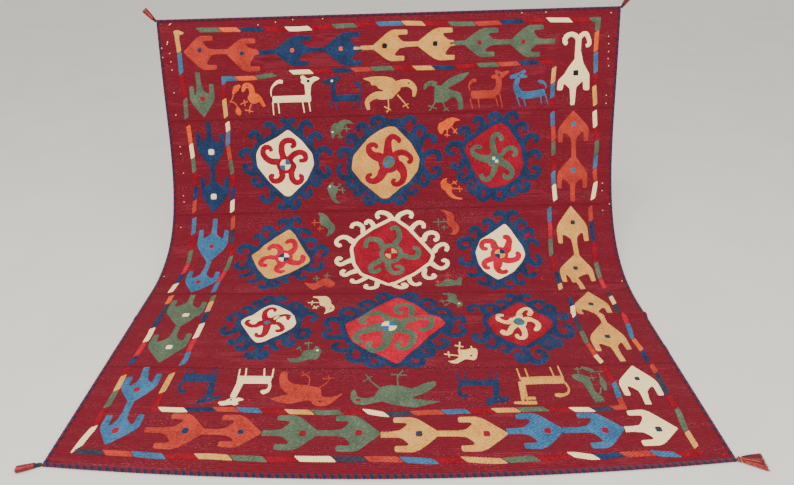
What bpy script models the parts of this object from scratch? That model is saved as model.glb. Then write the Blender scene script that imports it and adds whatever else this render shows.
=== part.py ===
"""Suzani kilim held up by its top edge: five woven strips, an overcast edge binding and four corner tassels.

The cloth hangs from its top edge, leaning back a little, bends onto the floor and lies flat in front.
Metres, +Z up. The floor is Z = 0, -Y is the front, and the origin is under the middle of the lowest strip.

Every cloth piece is first made flat, with X across the cloth, Y = -(distance down from the top edge) and
Z = height over the underside. drape() then lays its points along the fall of the cloth.
"""

import math

import bmesh
import bpy
import numpy as np
from mathutils import Matrix, Vector

# Driving dimensions
WIDTH = 1.500  # over the side bindings
STRIP_WIDTHS = (0.312, 0.321, 0.335, 0.330, 0.307)  # the woven strips from the top, uneven as hand weaving is
SHEET = 0.003  # woven ground with its embroidery
GAP = 0.0003  # between neighbouring pieces
BINDING_WIDTH = 0.008
BINDING_HEIGHT = 0.0055
BINDING_BEVEL = 0.0016
BOTTOM_BOW = 0.038  # the middle of the bottom edge lies this far in front of its corners
BOW_POWER = 4  # how fast that bow dies away up the cloth

LENGTH = sum(STRIP_WIDTHS) + (len(STRIP_WIDTHS) - 1) * GAP + 2 * (BINDING_WIDTH + GAP)
PANEL_WIDTH = WIDTH - 2 * (BINDING_WIDTH + GAP)

# The fall of the cloth: how steeply it climbs, in degrees, at a distance down from the top edge.
# The right side is held a little higher than the left.
FALL = (
    # down, left_climb, right_climb
    (0.00, 74.0, 70.0),
    (0.16, 77.0, 71.0),
    (0.32, 78.0, 72.0),
    (0.48, 72.0, 67.0),
    (0.64, 54.0, 55.0),
    (0.80, 22.0, 34.0),
    (0.96, 0.0, 9.0),
    (1.04, 0.0, 0.0),
    (1.64, 0.0, 0.0),
)
ORIGIN_DOWN = 1.45  # the origin lies under this distance down the side edges
STEP = 0.0025  # the fall is added up in steps of this length
MARGIN = 0.02  # and runs on this far past the cloth's two ends
SQUARE_REACH = 0.004  # the cloth's direction at a point is read this far to each side of it

# Soft folds across the cloth where it meets the floor.
FOLDS = (
    # down, half_width, left_height, right_height
    (1.10, 0.016, 0.0020, 0.0075),
    (1.25, 0.022, 0.0005, 0.0020),
)

COLUMNS = 16  # faces across each panel
ROWS = (6, 10, 14, 28, 6)  # faces down each panel, more where it bends or folds
SIDE_BINDING_STEPS = 112

WOOL_RED = (0.27, 0.014, 0.026)
WOOL_NAVY = (0.022, 0.065, 0.19)
WOOL_CRIMSON = (0.50, 0.030, 0.045)
WOOL_ROUGHNESS = 0.9

# Tassels: a lock is a twist of strands
NECK_SIDES = 8
LOCK_SIDES = 4
LOCK_HEIGHT = 0.0022
LOCK_ROOT_WIDTH = 0.0018
LOCK_TIP_WIDTH = 0.0026
LOCK_STEPS = 5
LOCK_START = 0.004  # how far inside the head a lock starts
DROOP_START = 0.55  # past this share of its length, an upper lock of a spread tassel comes down to the floor
UNEVEN_CUT = 0.003  # the locks of a tassel differ by up to this much in length
CORNER_INSET = 0.005  # from the end of the side binding to the middle of a neck's root

# A neck is sewn to the corner, drawn in by a tie, and opens into the head that the locks leave.
TIED_NECK = (
    # out, half_width, half_height, middle_height
    (0.000, 0.0045, 0.0025, 0.0028),
    (0.006, 0.0075, 0.0040, 0.0042),
    (0.014, 0.0062, 0.0042, 0.0044),
    (0.020, 0.0045, 0.0038, 0.0040),
    (0.031, 0.0100, 0.0032, 0.0034),
)
WRAPPED_NECK = (
    # out, half_width, half_height, middle_height
    (0.000, 0.0042, 0.0025, 0.0028),
    (0.006, 0.0045, 0.0040, 0.0042),
    (0.018, 0.0042, 0.0040, 0.0042),
    (0.021, 0.0036, 0.0036, 0.0040),
    (0.027, 0.0074, 0.0040, 0.0042),
    (0.030, 0.0078, 0.0038, 0.0040),
)
ROUND_NECK = (
    # out, half_width, half_height, middle_height
    (0.000, 0.0042, 0.0025, 0.0028),
    (0.006, 0.0042, 0.0040, 0.0030),
    (0.018, 0.0038, 0.0038, 0.0030),
    (0.021, 0.0034, 0.0034, 0.0030),
    (0.026, 0.0056, 0.0056, 0.0030),
    (0.029, 0.0058, 0.0058, 0.0030),
)


def fall_profile(column):
    """Distances down the cloth with the Y and Z of its underside there, added up from the front edge."""
    fall = np.array(FALL)
    down = np.arange(LENGTH + MARGIN, -MARGIN, -STEP)
    climb = np.radians(np.interp(down, fall[:, 0], fall[:, column]))
    y = np.concatenate(([0.0], np.cumsum(np.cos(climb[:-1]) * STEP)))
    z = np.concatenate(([0.0], np.cumsum(np.sin(climb[:-1]) * STEP)))
    y -= np.interp(-ORIGIN_DOWN, -down, y)
    return down[::-1], y[::-1], z[::-1]


LEFT = fall_profile(1)
RIGHT = fall_profile(2)


def underside(across, down):
    """The point of the cloth's underside at these distances across (from the middle) and down."""
    share = across / WIDTH + 0.5
    y = (1 - share) * np.interp(down, LEFT[0], LEFT[1]) + share * np.interp(down, RIGHT[0], RIGHT[1])
    z = (1 - share) * np.interp(down, LEFT[0], LEFT[2]) + share * np.interp(down, RIGHT[0], RIGHT[2])
    y -= BOTTOM_BOW * (1 - (2 * across / WIDTH) ** 2) * max(down / LENGTH, 0.0) ** BOW_POWER
    for middle, half_width, left_height, right_height in FOLDS:
        off = (down - middle) / half_width
        if abs(off) < 1:
            z += ((1 - share) * left_height + share * right_height) * (1 - off * off) ** 2
    return Vector((across, y, z))


def place(across, down, lift):
    """The point that lies lift above the underside, square to the cloth."""
    over = underside(across + SQUARE_REACH, down) - underside(across - SQUARE_REACH, down)
    up = underside(across, down - SQUARE_REACH) - underside(across, down + SQUARE_REACH)
    return underside(across, down) + over.cross(up).normalized() * lift


def drape(shape):
    """Lay a flat shape along the fall of the cloth."""
    for vert in shape.verts:
        vert.co = place(vert.co.x, -vert.co.y, vert.co.z)


def wool(name, colour):
    material = bpy.data.materials.new(name)
    material.use_nodes = True
    surface = material.node_tree.nodes["Principled BSDF"]
    surface.inputs["Base Color"].default_value = (*colour, 1.0)
    surface.inputs["Roughness"].default_value = WOOL_ROUGHNESS
    surface.inputs["Metallic"].default_value = 0.0
    return material


def add_object(name, shape, colour):
    bmesh.ops.recalc_face_normals(shape, faces=shape.faces)
    mesh = bpy.data.meshes.new(name)
    shape.to_mesh(mesh)
    shape.free()
    mesh.materials.append(wool(name + "_wool", colour))
    piece = bpy.data.objects.new(name, mesh)
    bpy.context.scene.collection.objects.link(piece)
    return piece


def flat_slab(width, length, height, columns, rows):
    """A closed slab of faces lying flat, centred across, its top edge at Y = 0 and its underside at Z = 0."""
    slab = bmesh.new()
    bmesh.ops.create_grid(slab, x_segments=columns, y_segments=rows, size=0.5)
    bmesh.ops.scale(slab, verts=slab.verts, vec=(width, length, 1.0))
    bmesh.ops.translate(slab, verts=slab.verts, vec=(0.0, -length / 2, 0.0))
    grown = bmesh.ops.extrude_face_region(slab, geom=slab.faces[:])
    raised = [part for part in grown["geom"] if isinstance(part, bmesh.types.BMVert)]
    bmesh.ops.translate(slab, verts=raised, vec=(0.0, 0.0, height))
    return slab


def make_panel(number):
    """One woven strip, counted from the top."""
    panel = flat_slab(PANEL_WIDTH, STRIP_WIDTHS[number], SHEET, COLUMNS, ROWS[number])
    top = BINDING_WIDTH + GAP + sum(STRIP_WIDTHS[:number]) + number * GAP
    bmesh.ops.translate(panel, verts=panel.verts, vec=(0.0, -top, 0.0))
    drape(panel)
    add_object(f"panel_{number + 1}", panel, WOOL_RED)


def make_binding(name, width, length, columns, rows, across, down):
    """An overcast edge: a flat-bottomed bar with its long corners taken off, laid along one edge."""
    bar = flat_slab(width, length, BINDING_HEIGHT, columns, rows)
    runs_down = length > width
    long_edges = []
    for edge in bar.edges:
        along = edge.verts[1].co - edge.verts[0].co
        is_long = abs(along.y) > abs(along.x) if runs_down else abs(along.x) > abs(along.y)
        is_flat = abs(along.z) < BINDING_HEIGHT / 2
        if is_long and is_flat and edge.calc_face_angle(0.0) > math.radians(45):
            long_edges.append(edge)
    bmesh.ops.bevel(
        bar, geom=long_edges, offset=BINDING_BEVEL, affect="EDGES", segments=1, profile=0.5, material=-1
    )
    bmesh.ops.translate(bar, verts=bar.verts, vec=(across, -down, 0.0))
    drape(bar)
    add_object(name, bar, WOOL_NAVY)


def tube(shape, centres, sizes, lift, sides, first_ahead=None):
    """A closed tube of rings along its centres; each ring has a half width, and a half height along lift."""
    rings = []
    turn = Matrix.Rotation(math.pi / sides, 4, "Z")
    to_flats = 1 / math.cos(math.pi / sides)
    for index, (centre, (half_width, half_height)) in enumerate(zip(centres, sizes)):
        before = centres[max(index - 1, 0)]
        after = centres[min(index + 1, len(centres) - 1)]
        ahead = first_ahead if first_ahead and index == 0 else after - before
        across = lift.cross(ahead).normalized()
        frame = Matrix((across, lift, across.cross(lift))).transposed().to_4x4()
        frame.translation = centre
        size = Matrix.Diagonal((half_width * to_flats, half_height * to_flats, 1.0, 1.0))
        ring = bmesh.ops.create_circle(shape, segments=sides, radius=1.0, matrix=frame @ size @ turn)
        rings.append(ring["verts"])
    for ring, following in zip(rings, rings[1:]):
        for index in range(sides):
            corner = (index + 1) % sides
            shape.faces.new((ring[index], ring[corner], following[corner], following[index]))
    shape.faces.new(rings[0][::-1])
    shape.faces.new(rings[-1])


def lying_locks(counts, root_pitch, tip_pitch, length, droop):
    """Rows of locks one on another: the lowest lies on the floor, each other one in the gaps below it."""
    locks = []
    for row, count in enumerate(counts):
        height = LOCK_HEIGHT / 2 + row * (LOCK_HEIGHT + GAP)
        tip_height = LOCK_HEIGHT / 2 if droop else height
        for index in range(count):
            side = index - (count - 1) / 2
            cut_length = length - UNEVEN_CUT * ((index * 5 + row * 3) % 4) / 4
            locks.append((side * root_pitch, height, side * tip_pitch, tip_height, cut_length))
    return locks


def round_locks(count, root_radius, tip_radius, middle, length):
    """A ring of locks round one in the middle, opening a little towards their cut ends."""
    locks = [(0.0, middle, 0.0, middle, length)]
    for index in range(count):
        angle = 2 * math.pi * index / count
        cut_length = length - UNEVEN_CUT * (index * 5 % 4) / 4
        side = math.cos(angle)
        rise = math.sin(angle)
        root = (side * root_radius, middle + rise * root_radius)
        tip = (side * tip_radius, middle + rise * tip_radius)
        locks.append((*root, *tip, cut_length))
    return locks


def make_tassel(name, root, side, outward, lift, neck, locks):
    """The neck and head, joined with the locks. side is the way the binding's outer face looks.

    A lock is (side offset at its root, height there, side offset at its tip, height there, length).
    """
    across = lift.cross(outward)
    head = bmesh.new()
    centres = [root + outward * out + lift * height for out, _, _, height in neck]
    sizes = [(half_width, half_height) for _, half_width, half_height, _ in neck]
    tube(head, centres, sizes, lift, NECK_SIDES, first_ahead=side)
    tassel = add_object(name, head, WOOL_CRIMSON)

    bundle = bmesh.new()
    for root_offset, root_height, tip_offset, tip_height, length in locks:
        centres = []
        sizes = []
        for index in range(LOCK_STEPS + 1):
            share = index / LOCK_STEPS
            out = neck[-1][0] - LOCK_START + share * (LOCK_START + length)
            late = max(0.0, (share - DROOP_START) / (1 - DROOP_START))
            height = root_height + (tip_height - root_height) * late
            offset = root_offset + (tip_offset - root_offset) * share
            centres.append(root + outward * out + across * offset + lift * height)
            width = LOCK_ROOT_WIDTH + (LOCK_TIP_WIDTH - LOCK_ROOT_WIDTH) * share
            sizes.append((width / 2, LOCK_HEIGHT / 2))
        tube(bundle, centres, sizes, lift, LOCK_SIDES)
    cutter = add_object(name + "_locks", bundle, WOOL_CRIMSON)
    cutter.display_type = "WIRE"
    cutter.hide_render = True
    join = tassel.modifiers.new("locks", "BOOLEAN")
    join.operation = "UNION"
    join.object = cutter


def make_corner_tassel(name, side, down, spread, neck, locks):
    """A tassel on the outer face of a side binding; spread is how far it turns down the cloth, in degrees."""
    across = side * WIDTH / 2
    root = place(across + side * GAP, down, 0.0)
    lift = (place(across, down, SHEET) - place(across, down, 0.0)).normalized()
    over = Vector((side, 0.0, 0.0))
    along = (place(across, down + STEP, 0.0) - place(across, down, 0.0)).normalized()
    outward = over * math.cos(math.radians(spread)) + along * math.sin(math.radians(spread))
    make_tassel(name, root, over, outward.normalized(), lift, neck, locks)


def main():
    for item in list(bpy.data.objects):
        bpy.data.objects.remove(item, do_unlink=True)
    for number in range(len(STRIP_WIDTHS)):
        make_panel(number)

    side_across = (WIDTH - BINDING_WIDTH) / 2
    make_binding("binding_left", BINDING_WIDTH, LENGTH, 1, SIDE_BINDING_STEPS, -side_across, 0.0)
    make_binding("binding_right", BINDING_WIDTH, LENGTH, 1, SIDE_BINDING_STEPS, side_across, 0.0)
    make_binding("binding_top", PANEL_WIDTH, BINDING_WIDTH, COLUMNS, 1, 0.0, 0.0)
    make_binding("binding_bottom", PANEL_WIDTH, BINDING_WIDTH, COLUMNS, 1, 0.0, LENGTH - BINDING_WIDTH)

    top = CORNER_INSET
    bottom = LENGTH - CORNER_INSET
    held = round_locks(count=6, root_radius=0.0032, tip_radius=0.0048, middle=0.0030, length=0.028)
    spread_out = lying_locks((7, 6), root_pitch=0.0024, tip_pitch=0.0070, length=0.041, droop=True)
    gathered = lying_locks((5, 4, 3), root_pitch=0.0024, tip_pitch=0.0031, length=0.028, droop=False)
    make_corner_tassel("tassel_top_left", -1, top, -45, ROUND_NECK, held)
    make_corner_tassel("tassel_top_right", 1, top, -50, ROUND_NECK, held)
    make_corner_tassel("tassel_bottom_left", -1, bottom, 15, WRAPPED_NECK, gathered)
    make_corner_tassel("tassel_bottom_right", 1, bottom, 17, TIED_NECK, spread_out)


main()
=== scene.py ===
"""Looks of a suzani kilim: five woven wool strips, crewel stitching, an overcast edge and four tassels."""
import math
import random

import bmesh
import bpy
import numpy as np
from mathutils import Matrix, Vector


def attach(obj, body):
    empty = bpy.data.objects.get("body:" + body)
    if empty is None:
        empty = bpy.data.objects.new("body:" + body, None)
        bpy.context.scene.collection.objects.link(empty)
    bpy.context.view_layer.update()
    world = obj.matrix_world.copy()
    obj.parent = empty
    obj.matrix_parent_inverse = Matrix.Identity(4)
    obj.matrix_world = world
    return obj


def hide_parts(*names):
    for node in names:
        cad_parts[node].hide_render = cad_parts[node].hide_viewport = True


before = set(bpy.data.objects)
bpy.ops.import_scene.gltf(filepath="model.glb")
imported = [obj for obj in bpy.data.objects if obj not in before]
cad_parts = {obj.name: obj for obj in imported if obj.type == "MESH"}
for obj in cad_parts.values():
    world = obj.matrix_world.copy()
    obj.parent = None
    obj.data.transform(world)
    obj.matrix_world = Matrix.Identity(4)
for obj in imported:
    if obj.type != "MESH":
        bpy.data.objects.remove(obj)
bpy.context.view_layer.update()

# ---- The woven strips -------------------------------------------------------------------------------
# Five narrow strips of hand-spun wool, woven on a horizontal loom and dyed madder red, then sewn long
# edge to long edge. They hang from the top edge, sweep forward and lie out on the floor at the front.
# Sizes are in metres.
WIDTH = 1.500
STRIP_WIDTHS = (0.312, 0.321, 0.335, 0.330, 0.307)
SHEET = 0.003
GAP = 0.0003
BINDING_WIDTH = 0.008
PANEL_WIDTH = WIDTH - 2 * (BINDING_WIDTH + GAP)
LENGTH = sum(STRIP_WIDTHS) + 4 * GAP + 2 * (BINDING_WIDTH + GAP)
BOTTOM_BOW = 0.038  # the middle of the front edge lies this far forward of its ends
BOW_POWER = 4
ORIGIN_DOWN = 1.45  # how far down the cloth Y is 0
STEP = 0.0025  # between the places down the cloth where its fall is added up
MARGIN = 0.02  # how far the fall goes on past both ends
SQUARE_REACH = 0.004  # the slope at a place is taken this far to either side of it
FALL = (
    # down the cloth, climb at the left edge and at the right edge in degrees
    (0.00, 74, 70), (0.16, 77, 71), (0.32, 78, 72), (0.48, 72, 67), (0.64, 54, 55),
    (0.80, 22, 34), (0.96, 0, 9), (1.04, 0, 0), (1.64, 0, 0),
)
FOLDS = (
    # middle, half width, height at the left edge and at the right edge
    (1.10, 0.016, 0.0020, 0.0075),
    (1.25, 0.022, 0.0005, 0.0020),
)
PUCKER = 0.0016  # the dense stitching draws the ground up into low, soft swells of this height
SIDE_MARGIN = 0.05  # the swells die out over the cloth's outermost 50 mm at the sides
END_MARGIN = 0.04  # and 40 mm at the ends
STRIP_COLUMNS = 110
STRIP_ROW = 0.0045
TOUCHING = 0.000001  # points of one piece that are nearer than this are joined


def fall_profile(column):
    """Distances down the cloth with the Y and Z of its underside there, added up from the front edge."""
    fall = np.array(FALL)
    down = np.arange(LENGTH + MARGIN, -MARGIN, -STEP)
    climb = np.radians(np.interp(down, fall[:, 0], fall[:, column]))
    y = np.concatenate(([0.0], np.cumsum(np.cos(climb[:-1]) * STEP)))
    z = np.concatenate(([0.0], np.cumsum(np.sin(climb[:-1]) * STEP)))
    y -= np.interp(-ORIGIN_DOWN, -down, y)
    return down[::-1], y[::-1], z[::-1]


LEFT_EDGE = fall_profile(1)
RIGHT_EDGE = fall_profile(2)


def underside(across, down):
    """Points of the cloth's underside at these distances across (from the middle) and down."""
    share = across / WIDTH + 0.5
    y = (1 - share) * np.interp(down, LEFT_EDGE[0], LEFT_EDGE[1])
    y += share * np.interp(down, RIGHT_EDGE[0], RIGHT_EDGE[1])
    z = (1 - share) * np.interp(down, LEFT_EDGE[0], LEFT_EDGE[2])
    z += share * np.interp(down, RIGHT_EDGE[0], RIGHT_EDGE[2])
    y -= BOTTOM_BOW * (1 - (2 * across / WIDTH) ** 2) * np.maximum(down / LENGTH, 0.0) ** BOW_POWER
    for middle, half_width, left_height, right_height in FOLDS:
        off = np.clip((down - middle) / half_width, -1, 1)
        z += ((1 - share) * left_height + share * right_height) * (1 - off * off) ** 2
    return np.stack((across, y, z), axis=-1)


def swell(across, down):
    """How far the ground is puckered up, in waves 90 to 270 mm long: not at all at the outer edges."""
    waves = np.sin(across * 37 + np.sin(down * 23) * 1.3) * np.sin(down * 31 + across * 9)
    waves += 0.6 * np.sin(across * 71 - down * 38 + 1.1)
    inner = np.clip((WIDTH / 2 - np.abs(across)) / SIDE_MARGIN, 0, 1)
    inner *= np.clip(down / END_MARGIN, 0, 1) * np.clip((LENGTH - down) / END_MARGIN, 0, 1)
    return PUCKER * (0.5 + 0.31 * waves) * inner


def place(across, down, lift):
    """Points on the laid cloth: across and down in metres, and lift above its underside."""
    over = underside(across + SQUARE_REACH, down) - underside(across - SQUARE_REACH, down)
    up = underside(across, down - SQUARE_REACH) - underside(across, down + SQUARE_REACH)
    square = np.cross(over, up)
    square /= np.linalg.norm(square, axis=-1, keepdims=True)
    return underside(across, down) + square * (lift + swell(across, down))[..., None]


def add_piece(name, mesh, nodes=()):
    """Puts a finished mesh in the scene as a piece of the cloth, in place of these nodes."""
    piece = bpy.data.objects.new(name, mesh)
    bpy.context.scene.collection.objects.link(piece)
    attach(piece, "root")
    if nodes:
        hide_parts(*nodes)
    return piece


def lay_piece(name, shape, material, nodes=(), crease=40):
    """Makes a piece of a shape drawn flat (X across, Y up the cloth, Z lift) and lays it on the cloth.

    Its UV map keeps the flat place of each point in metres, so that threads follow the cloth.
    """
    mesh = bpy.data.meshes.new(name)
    shape.to_mesh(mesh)
    shape.free()
    flat = np.empty(len(mesh.vertices) * 3)
    mesh.vertices.foreach_get("co", flat)
    flat = flat.reshape(-1, 3)
    corners = np.empty(len(mesh.loops), dtype=np.int32)
    mesh.loops.foreach_get("vertex_index", corners)
    if not mesh.uv_layers:
        mesh.uv_layers.new(name="cloth").uv.foreach_set("vector", flat[corners, :2].ravel())
    mesh.vertices.foreach_set("co", place(flat[:, 0], -flat[:, 1], flat[:, 2]).ravel())
    mesh.materials.append(material)
    mesh.shade_smooth()
    mesh.set_sharp_from_angle(angle=math.radians(crease))
    mesh.update()
    return add_piece(name, mesh, nodes)


def linear(colour):
    """An sRGB colour written as #rrggbb, as the linear values a shader takes."""
    parts = [int(colour[i:i + 2], 16) / 255 for i in (1, 3, 5)]
    return (*[p / 12.92 if p <= 0.04045 else ((p + 0.055) / 1.055) ** 2.4 for p in parts], 1.0)


def add_node(tree, kind, settings=None, stops=(), **sockets):
    """Adds a node with its settings and a ramp's stops, and sets or links its input sockets.

    A ramp's first two stops are its ends; each stop is a position and a colour. A socket is given by its
    name, or as _0, _1 and so on by its number.
    """
    node = tree.nodes.new("ShaderNode" + kind)
    for name, value in (settings or {}).items():
        setattr(node, name, value)
    for index, (position, colour) in enumerate(stops):
        if index < 2:
            stop = node.color_ramp.elements[index]
            stop.position = position
        else:
            stop = node.color_ramp.elements.new(position)
        stop.color = linear(colour)
    for name, value in sockets.items():
        socket = node.inputs[int(name[1:])] if name[0] == "_" else node.inputs[name.replace("_", " ")]
        if isinstance(value, bpy.types.NodeSocket):
            tree.links.new(value, socket)
        else:
            socket.default_value = value
    return node


def new_material(name):
    """A material with its node tree and its shader, for the nodes that follow."""
    material = bpy.data.materials.new(name)
    material.use_nodes = True
    return material, material.node_tree, material.node_tree.nodes["Principled BSDF"]


def make_woolly(tree, shader, colour, relief, strength, depth, roughness, sheen, fibre_ends="#ffffff"):
    """Matt wool: its colour, a relief this deep, and the soft sheen of its fibre ends."""
    tree.links.new(colour, shader.inputs["Base Color"])
    bump = add_node(tree, "Bump", Height=relief, Strength=strength, Distance=depth)
    tree.links.new(bump.outputs[0], shader.inputs["Normal"])
    shader.inputs["Roughness"].default_value = roughness
    shader.inputs["Sheen Weight"].default_value = sheen
    shader.inputs["Sheen Roughness"].default_value = 0.5
    shader.inputs["Sheen Tint"].default_value = linear(fibre_ends)
    shader.inputs["Specular IOR Level"].default_value = 0.2


# Hand-spun madder-red wool, plain weave: matt, with darker and paler runs of weft from one end of a
# strip to the other, a fine rib across it and a soft fuzz that catches the light. The runs of one
# colour are some 7 mm high, and the bands of a skein some 60 mm.
MULTIPLY_ADD = {"operation": "MULTIPLY_ADD"}
woven_wool, tree, shader = new_material("hand-woven madder wool")
flat_place = add_node(tree, "UVMap", {"uv_map": "cloth"}).outputs["UV"]
weft_place = add_node(tree, "Mapping", Vector=flat_place, Scale=(2.2, 150.0, 1.0)).outputs[0]
weft_runs = add_node(tree, "TexNoise", Vector=weft_place, Scale=1.0, Detail=4.0, Roughness=0.6).outputs[0]
band_place = add_node(tree, "Mapping", Vector=flat_place, Scale=(1.5, 16.0, 1.0)).outputs[0]
dye_bands = add_node(tree, "TexNoise", Vector=band_place, Scale=1.0, Detail=3.0, Roughness=0.55).outputs[0]
dye_clouds = add_node(tree, "TexNoise", Vector=flat_place, Scale=7.0, Detail=3.0, Roughness=0.5).outputs[0]
tone = add_node(tree, "Math", MULTIPLY_ADD, _0=weft_runs, _1=0.6, _2=dye_bands).outputs[0]
tone = add_node(tree, "Math", MULTIPLY_ADD, _0=dye_clouds, _1=0.7, _2=tone).outputs[0]
madder_dye = ((0.82, "#5e0e1d"), (1.50, "#80202f"), (1.0, "#6f1222"))
madder = add_node(tree, "ValToRGB", stops=madder_dye, Fac=tone).outputs[0]
# Weft ribs are about 1.1 mm apart; they are drawn at 5 mm so that they still show in the render.
RIB_PITCH = 0.005
WAVE_PITCH = 2 * math.pi / 20  # a wave texture of scale 1 repeats after this
ribs = add_node(tree, "TexWave", {"bands_direction": "Y"}, Vector=flat_place, Scale=WAVE_PITCH / RIB_PITCH,
                Distortion=2.5, Detail=2.0, Detail_Scale=1.5).outputs["Fac"]
# The ribs also darken the colour between them: painted shade in the furrows of the weave.
painted_rib_shade = add_node(tree, "MapRange", Value=ribs, To_Min=0.72).outputs[0]
# Slubs of paler and darker yarn, about 22 mm long and two or three threads (3 mm) high.
slub_place = add_node(tree, "Mapping", Vector=flat_place, Scale=(45.0, 330.0, 1.0)).outputs[0]
slubs = add_node(tree, "TexNoise", Vector=slub_place, Scale=1.0, Detail=3.0, Roughness=0.65).outputs[0]
slub_shade = add_node(tree, "MapRange", Value=slubs, From_Min=0.30, From_Max=0.70, To_Min=0.74, To_Max=1.28)
# The madder is multiplied by the painted rib shade and by the slubs' own paler and darker tone.
painted_rib_shade_and_slub_tone = add_node(tree, "Math", {"operation": "MULTIPLY"}, _0=painted_rib_shade, _1=slub_shade.outputs[0])
weave = add_node(tree, "VectorMath", {"operation": "SCALE"}, _0=madder, Scale=painted_rib_shade_and_slub_tone.outputs[0])
# Undyed fibres show as pale flecks 7 mm long, in rows 33 mm high where a paler skein was woven in.
lint_place = add_node(tree, "Mapping", Vector=flat_place, Scale=(150.0, 620.0, 1.0)).outputs[0]
lint = add_node(tree, "TexNoise", Vector=lint_place, Scale=1.0, Detail=1.0).outputs[0]
lint_spots = add_node(tree, "MapRange", Value=lint, From_Min=0.60, From_Max=0.74).outputs[0]
skein_place = add_node(tree, "Mapping", Vector=flat_place, Scale=(3.0, 30.0, 1.0)).outputs[0]
skeins = add_node(tree, "TexNoise", Vector=skein_place, Scale=1.0, Detail=2.0).outputs[0]
skein_rows = add_node(tree, "MapRange", Value=skeins, From_Min=0.42, From_Max=0.66, To_Max=0.6).outputs[0]
strewn = add_node(tree, "Math", {"operation": "MULTIPLY"}, _0=lint_spots, _1=skein_rows).outputs[0]
flecked = add_node(tree, "MixRGB", Fac=strewn, Color1=weave.outputs[0], Color2=linear("#b06a70")).outputs[0]
# The fuzz of single fibres is about a millimetre from tuft to tuft.
fuzz = add_node(tree, "TexNoise", Vector=flat_place, Scale=900.0, Detail=2.0).outputs[0]
relief = add_node(tree, "Math", MULTIPLY_ADD, _0=fuzz, _1=0.7, _2=ribs).outputs[0]
make_woolly(tree, shader, flecked, relief, 0.5, 0.0006, 0.92, 0.12, "#d06070")

strip_start = BINDING_WIDTH + GAP
for number, strip_width in enumerate(STRIP_WIDTHS, start=1):
    slab = bmesh.new()
    rows = round(strip_width / STRIP_ROW)
    bmesh.ops.create_grid(slab, x_segments=STRIP_COLUMNS, y_segments=rows, size=0.5)
    bmesh.ops.scale(slab, verts=slab.verts, vec=(PANEL_WIDTH, strip_width + GAP, 1.0))
    middle_down = strip_start + strip_width / 2
    bmesh.ops.translate(slab, verts=slab.verts, vec=(0.0, -middle_down, 0.0))
    bmesh.ops.solidify(slab, geom=slab.faces[:], thickness=SHEET)
    lowest = min(vert.co.z for vert in slab.verts)
    bmesh.ops.translate(slab, verts=slab.verts, vec=(0.0, 0.0, -lowest))
    name = f"woven_strip_{number}"
    lay_piece(name, slab, woven_wool, [f"panel_{number}"])
    strip_start += strip_width + GAP

# ---- Crewel wool ------------------------------------------------------------------------------------
# The figures are worked in two-ply dyed wool, in rows of slanting stitches laid close beside one
# another, on each strip before the strips were joined. The wool stands about a millimetre proud.
MM = 0.001  # the figures are drawn in millimetres across and down the cloth
STITCH_HEIGHT = 0.0008
STITCH_SUNK = 0.0005
HAIR = 0.00002  # work laid over other work of its own wool is lifted by a hair
INLAID = 0.0006  # work set into other work stands this much above it
FIELD_LIFT = 0.0003  # a medallion's filling covers the roots of its hooks
STITCH_SPACING = 0.004  # between the places that shape a worked line
OUTLINE_SPACING = 0.003  # between those round a patch
FINE_SPACING = 0.002  # and round a small disc
PATCH_ROW = 0.005  # a patch is cut into rows and columns of these sizes, to bend with the cloth
PATCH_COLUMN = 0.020
CUT_SNAP = 0.0000001
RIM = 0.0013  # how wide a patch's soft rim is
SIDE_RISE = 0.55  # a patch's side stands up by this share of its height, and its rim by the other
RIM_RISE = 0.45
ROUNDED_END = 0.75  # a line's two ends are this share of its width, unless they are blunt
STEPPED_EDGE = 0.0005  # each stitch ends a little further in or out than the last
# The section of a worked line: how far across its half width, and how high.
LINE_SECTION = (
    (-1.0, -0.5), (-0.84, 0.7), (-0.45, 1.0), (0.45, 1.0), (0.84, 0.7), (1.0, -0.5), (0.0, -0.5),
)
LINE_END_HEIGHT = 0.2  # its ends slope down to this share of its height
WOOL_DYES = {
    # the wool's colour, its darker ply and its paler ply, and how strongly the plies differ
    "navy": ("#1c2f52", "#12203a", "#2b466e", 0.30),
    "blue": ("#35658b", "#294f6f", "#4f83a8", 0.25),
    "green": ("#4f5e4b", "#364436", "#707f63", 0.55),
    "orange": ("#de5622", "#c04616", "#ee7236", 0.20),
    "rust": ("#b0382a", "#902a20", "#c84a34", 0.20),
    "tan": ("#da9c4a", "#bc8036", "#e8b46c", 0.25),
    "straw": ("#f8cd80", "#e2b464", "#fcdca0", 0.20),
    "cream": ("#ffe4a6", "#fedc9c", "#fff2c6", 0.20),
    "madder": ("#88061a", "#6c0512", "#a01226", 0.25),
    "red": ("#920c24", "#740a1a", "#ac1c32", 0.25),
    "rose": ("#bc0e2c", "#9a0c22", "#d22840", 0.25),
    "slate": ("#303140", "#21222e", "#474858", 0.35),
    "night": ("#181b22", "#101218", "#262b34", 0.25),
}
STITCH_SLANT = math.radians(-32)
STITCH_PITCH = 0.0058
MIDDLE_TONE = 0.72


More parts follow.
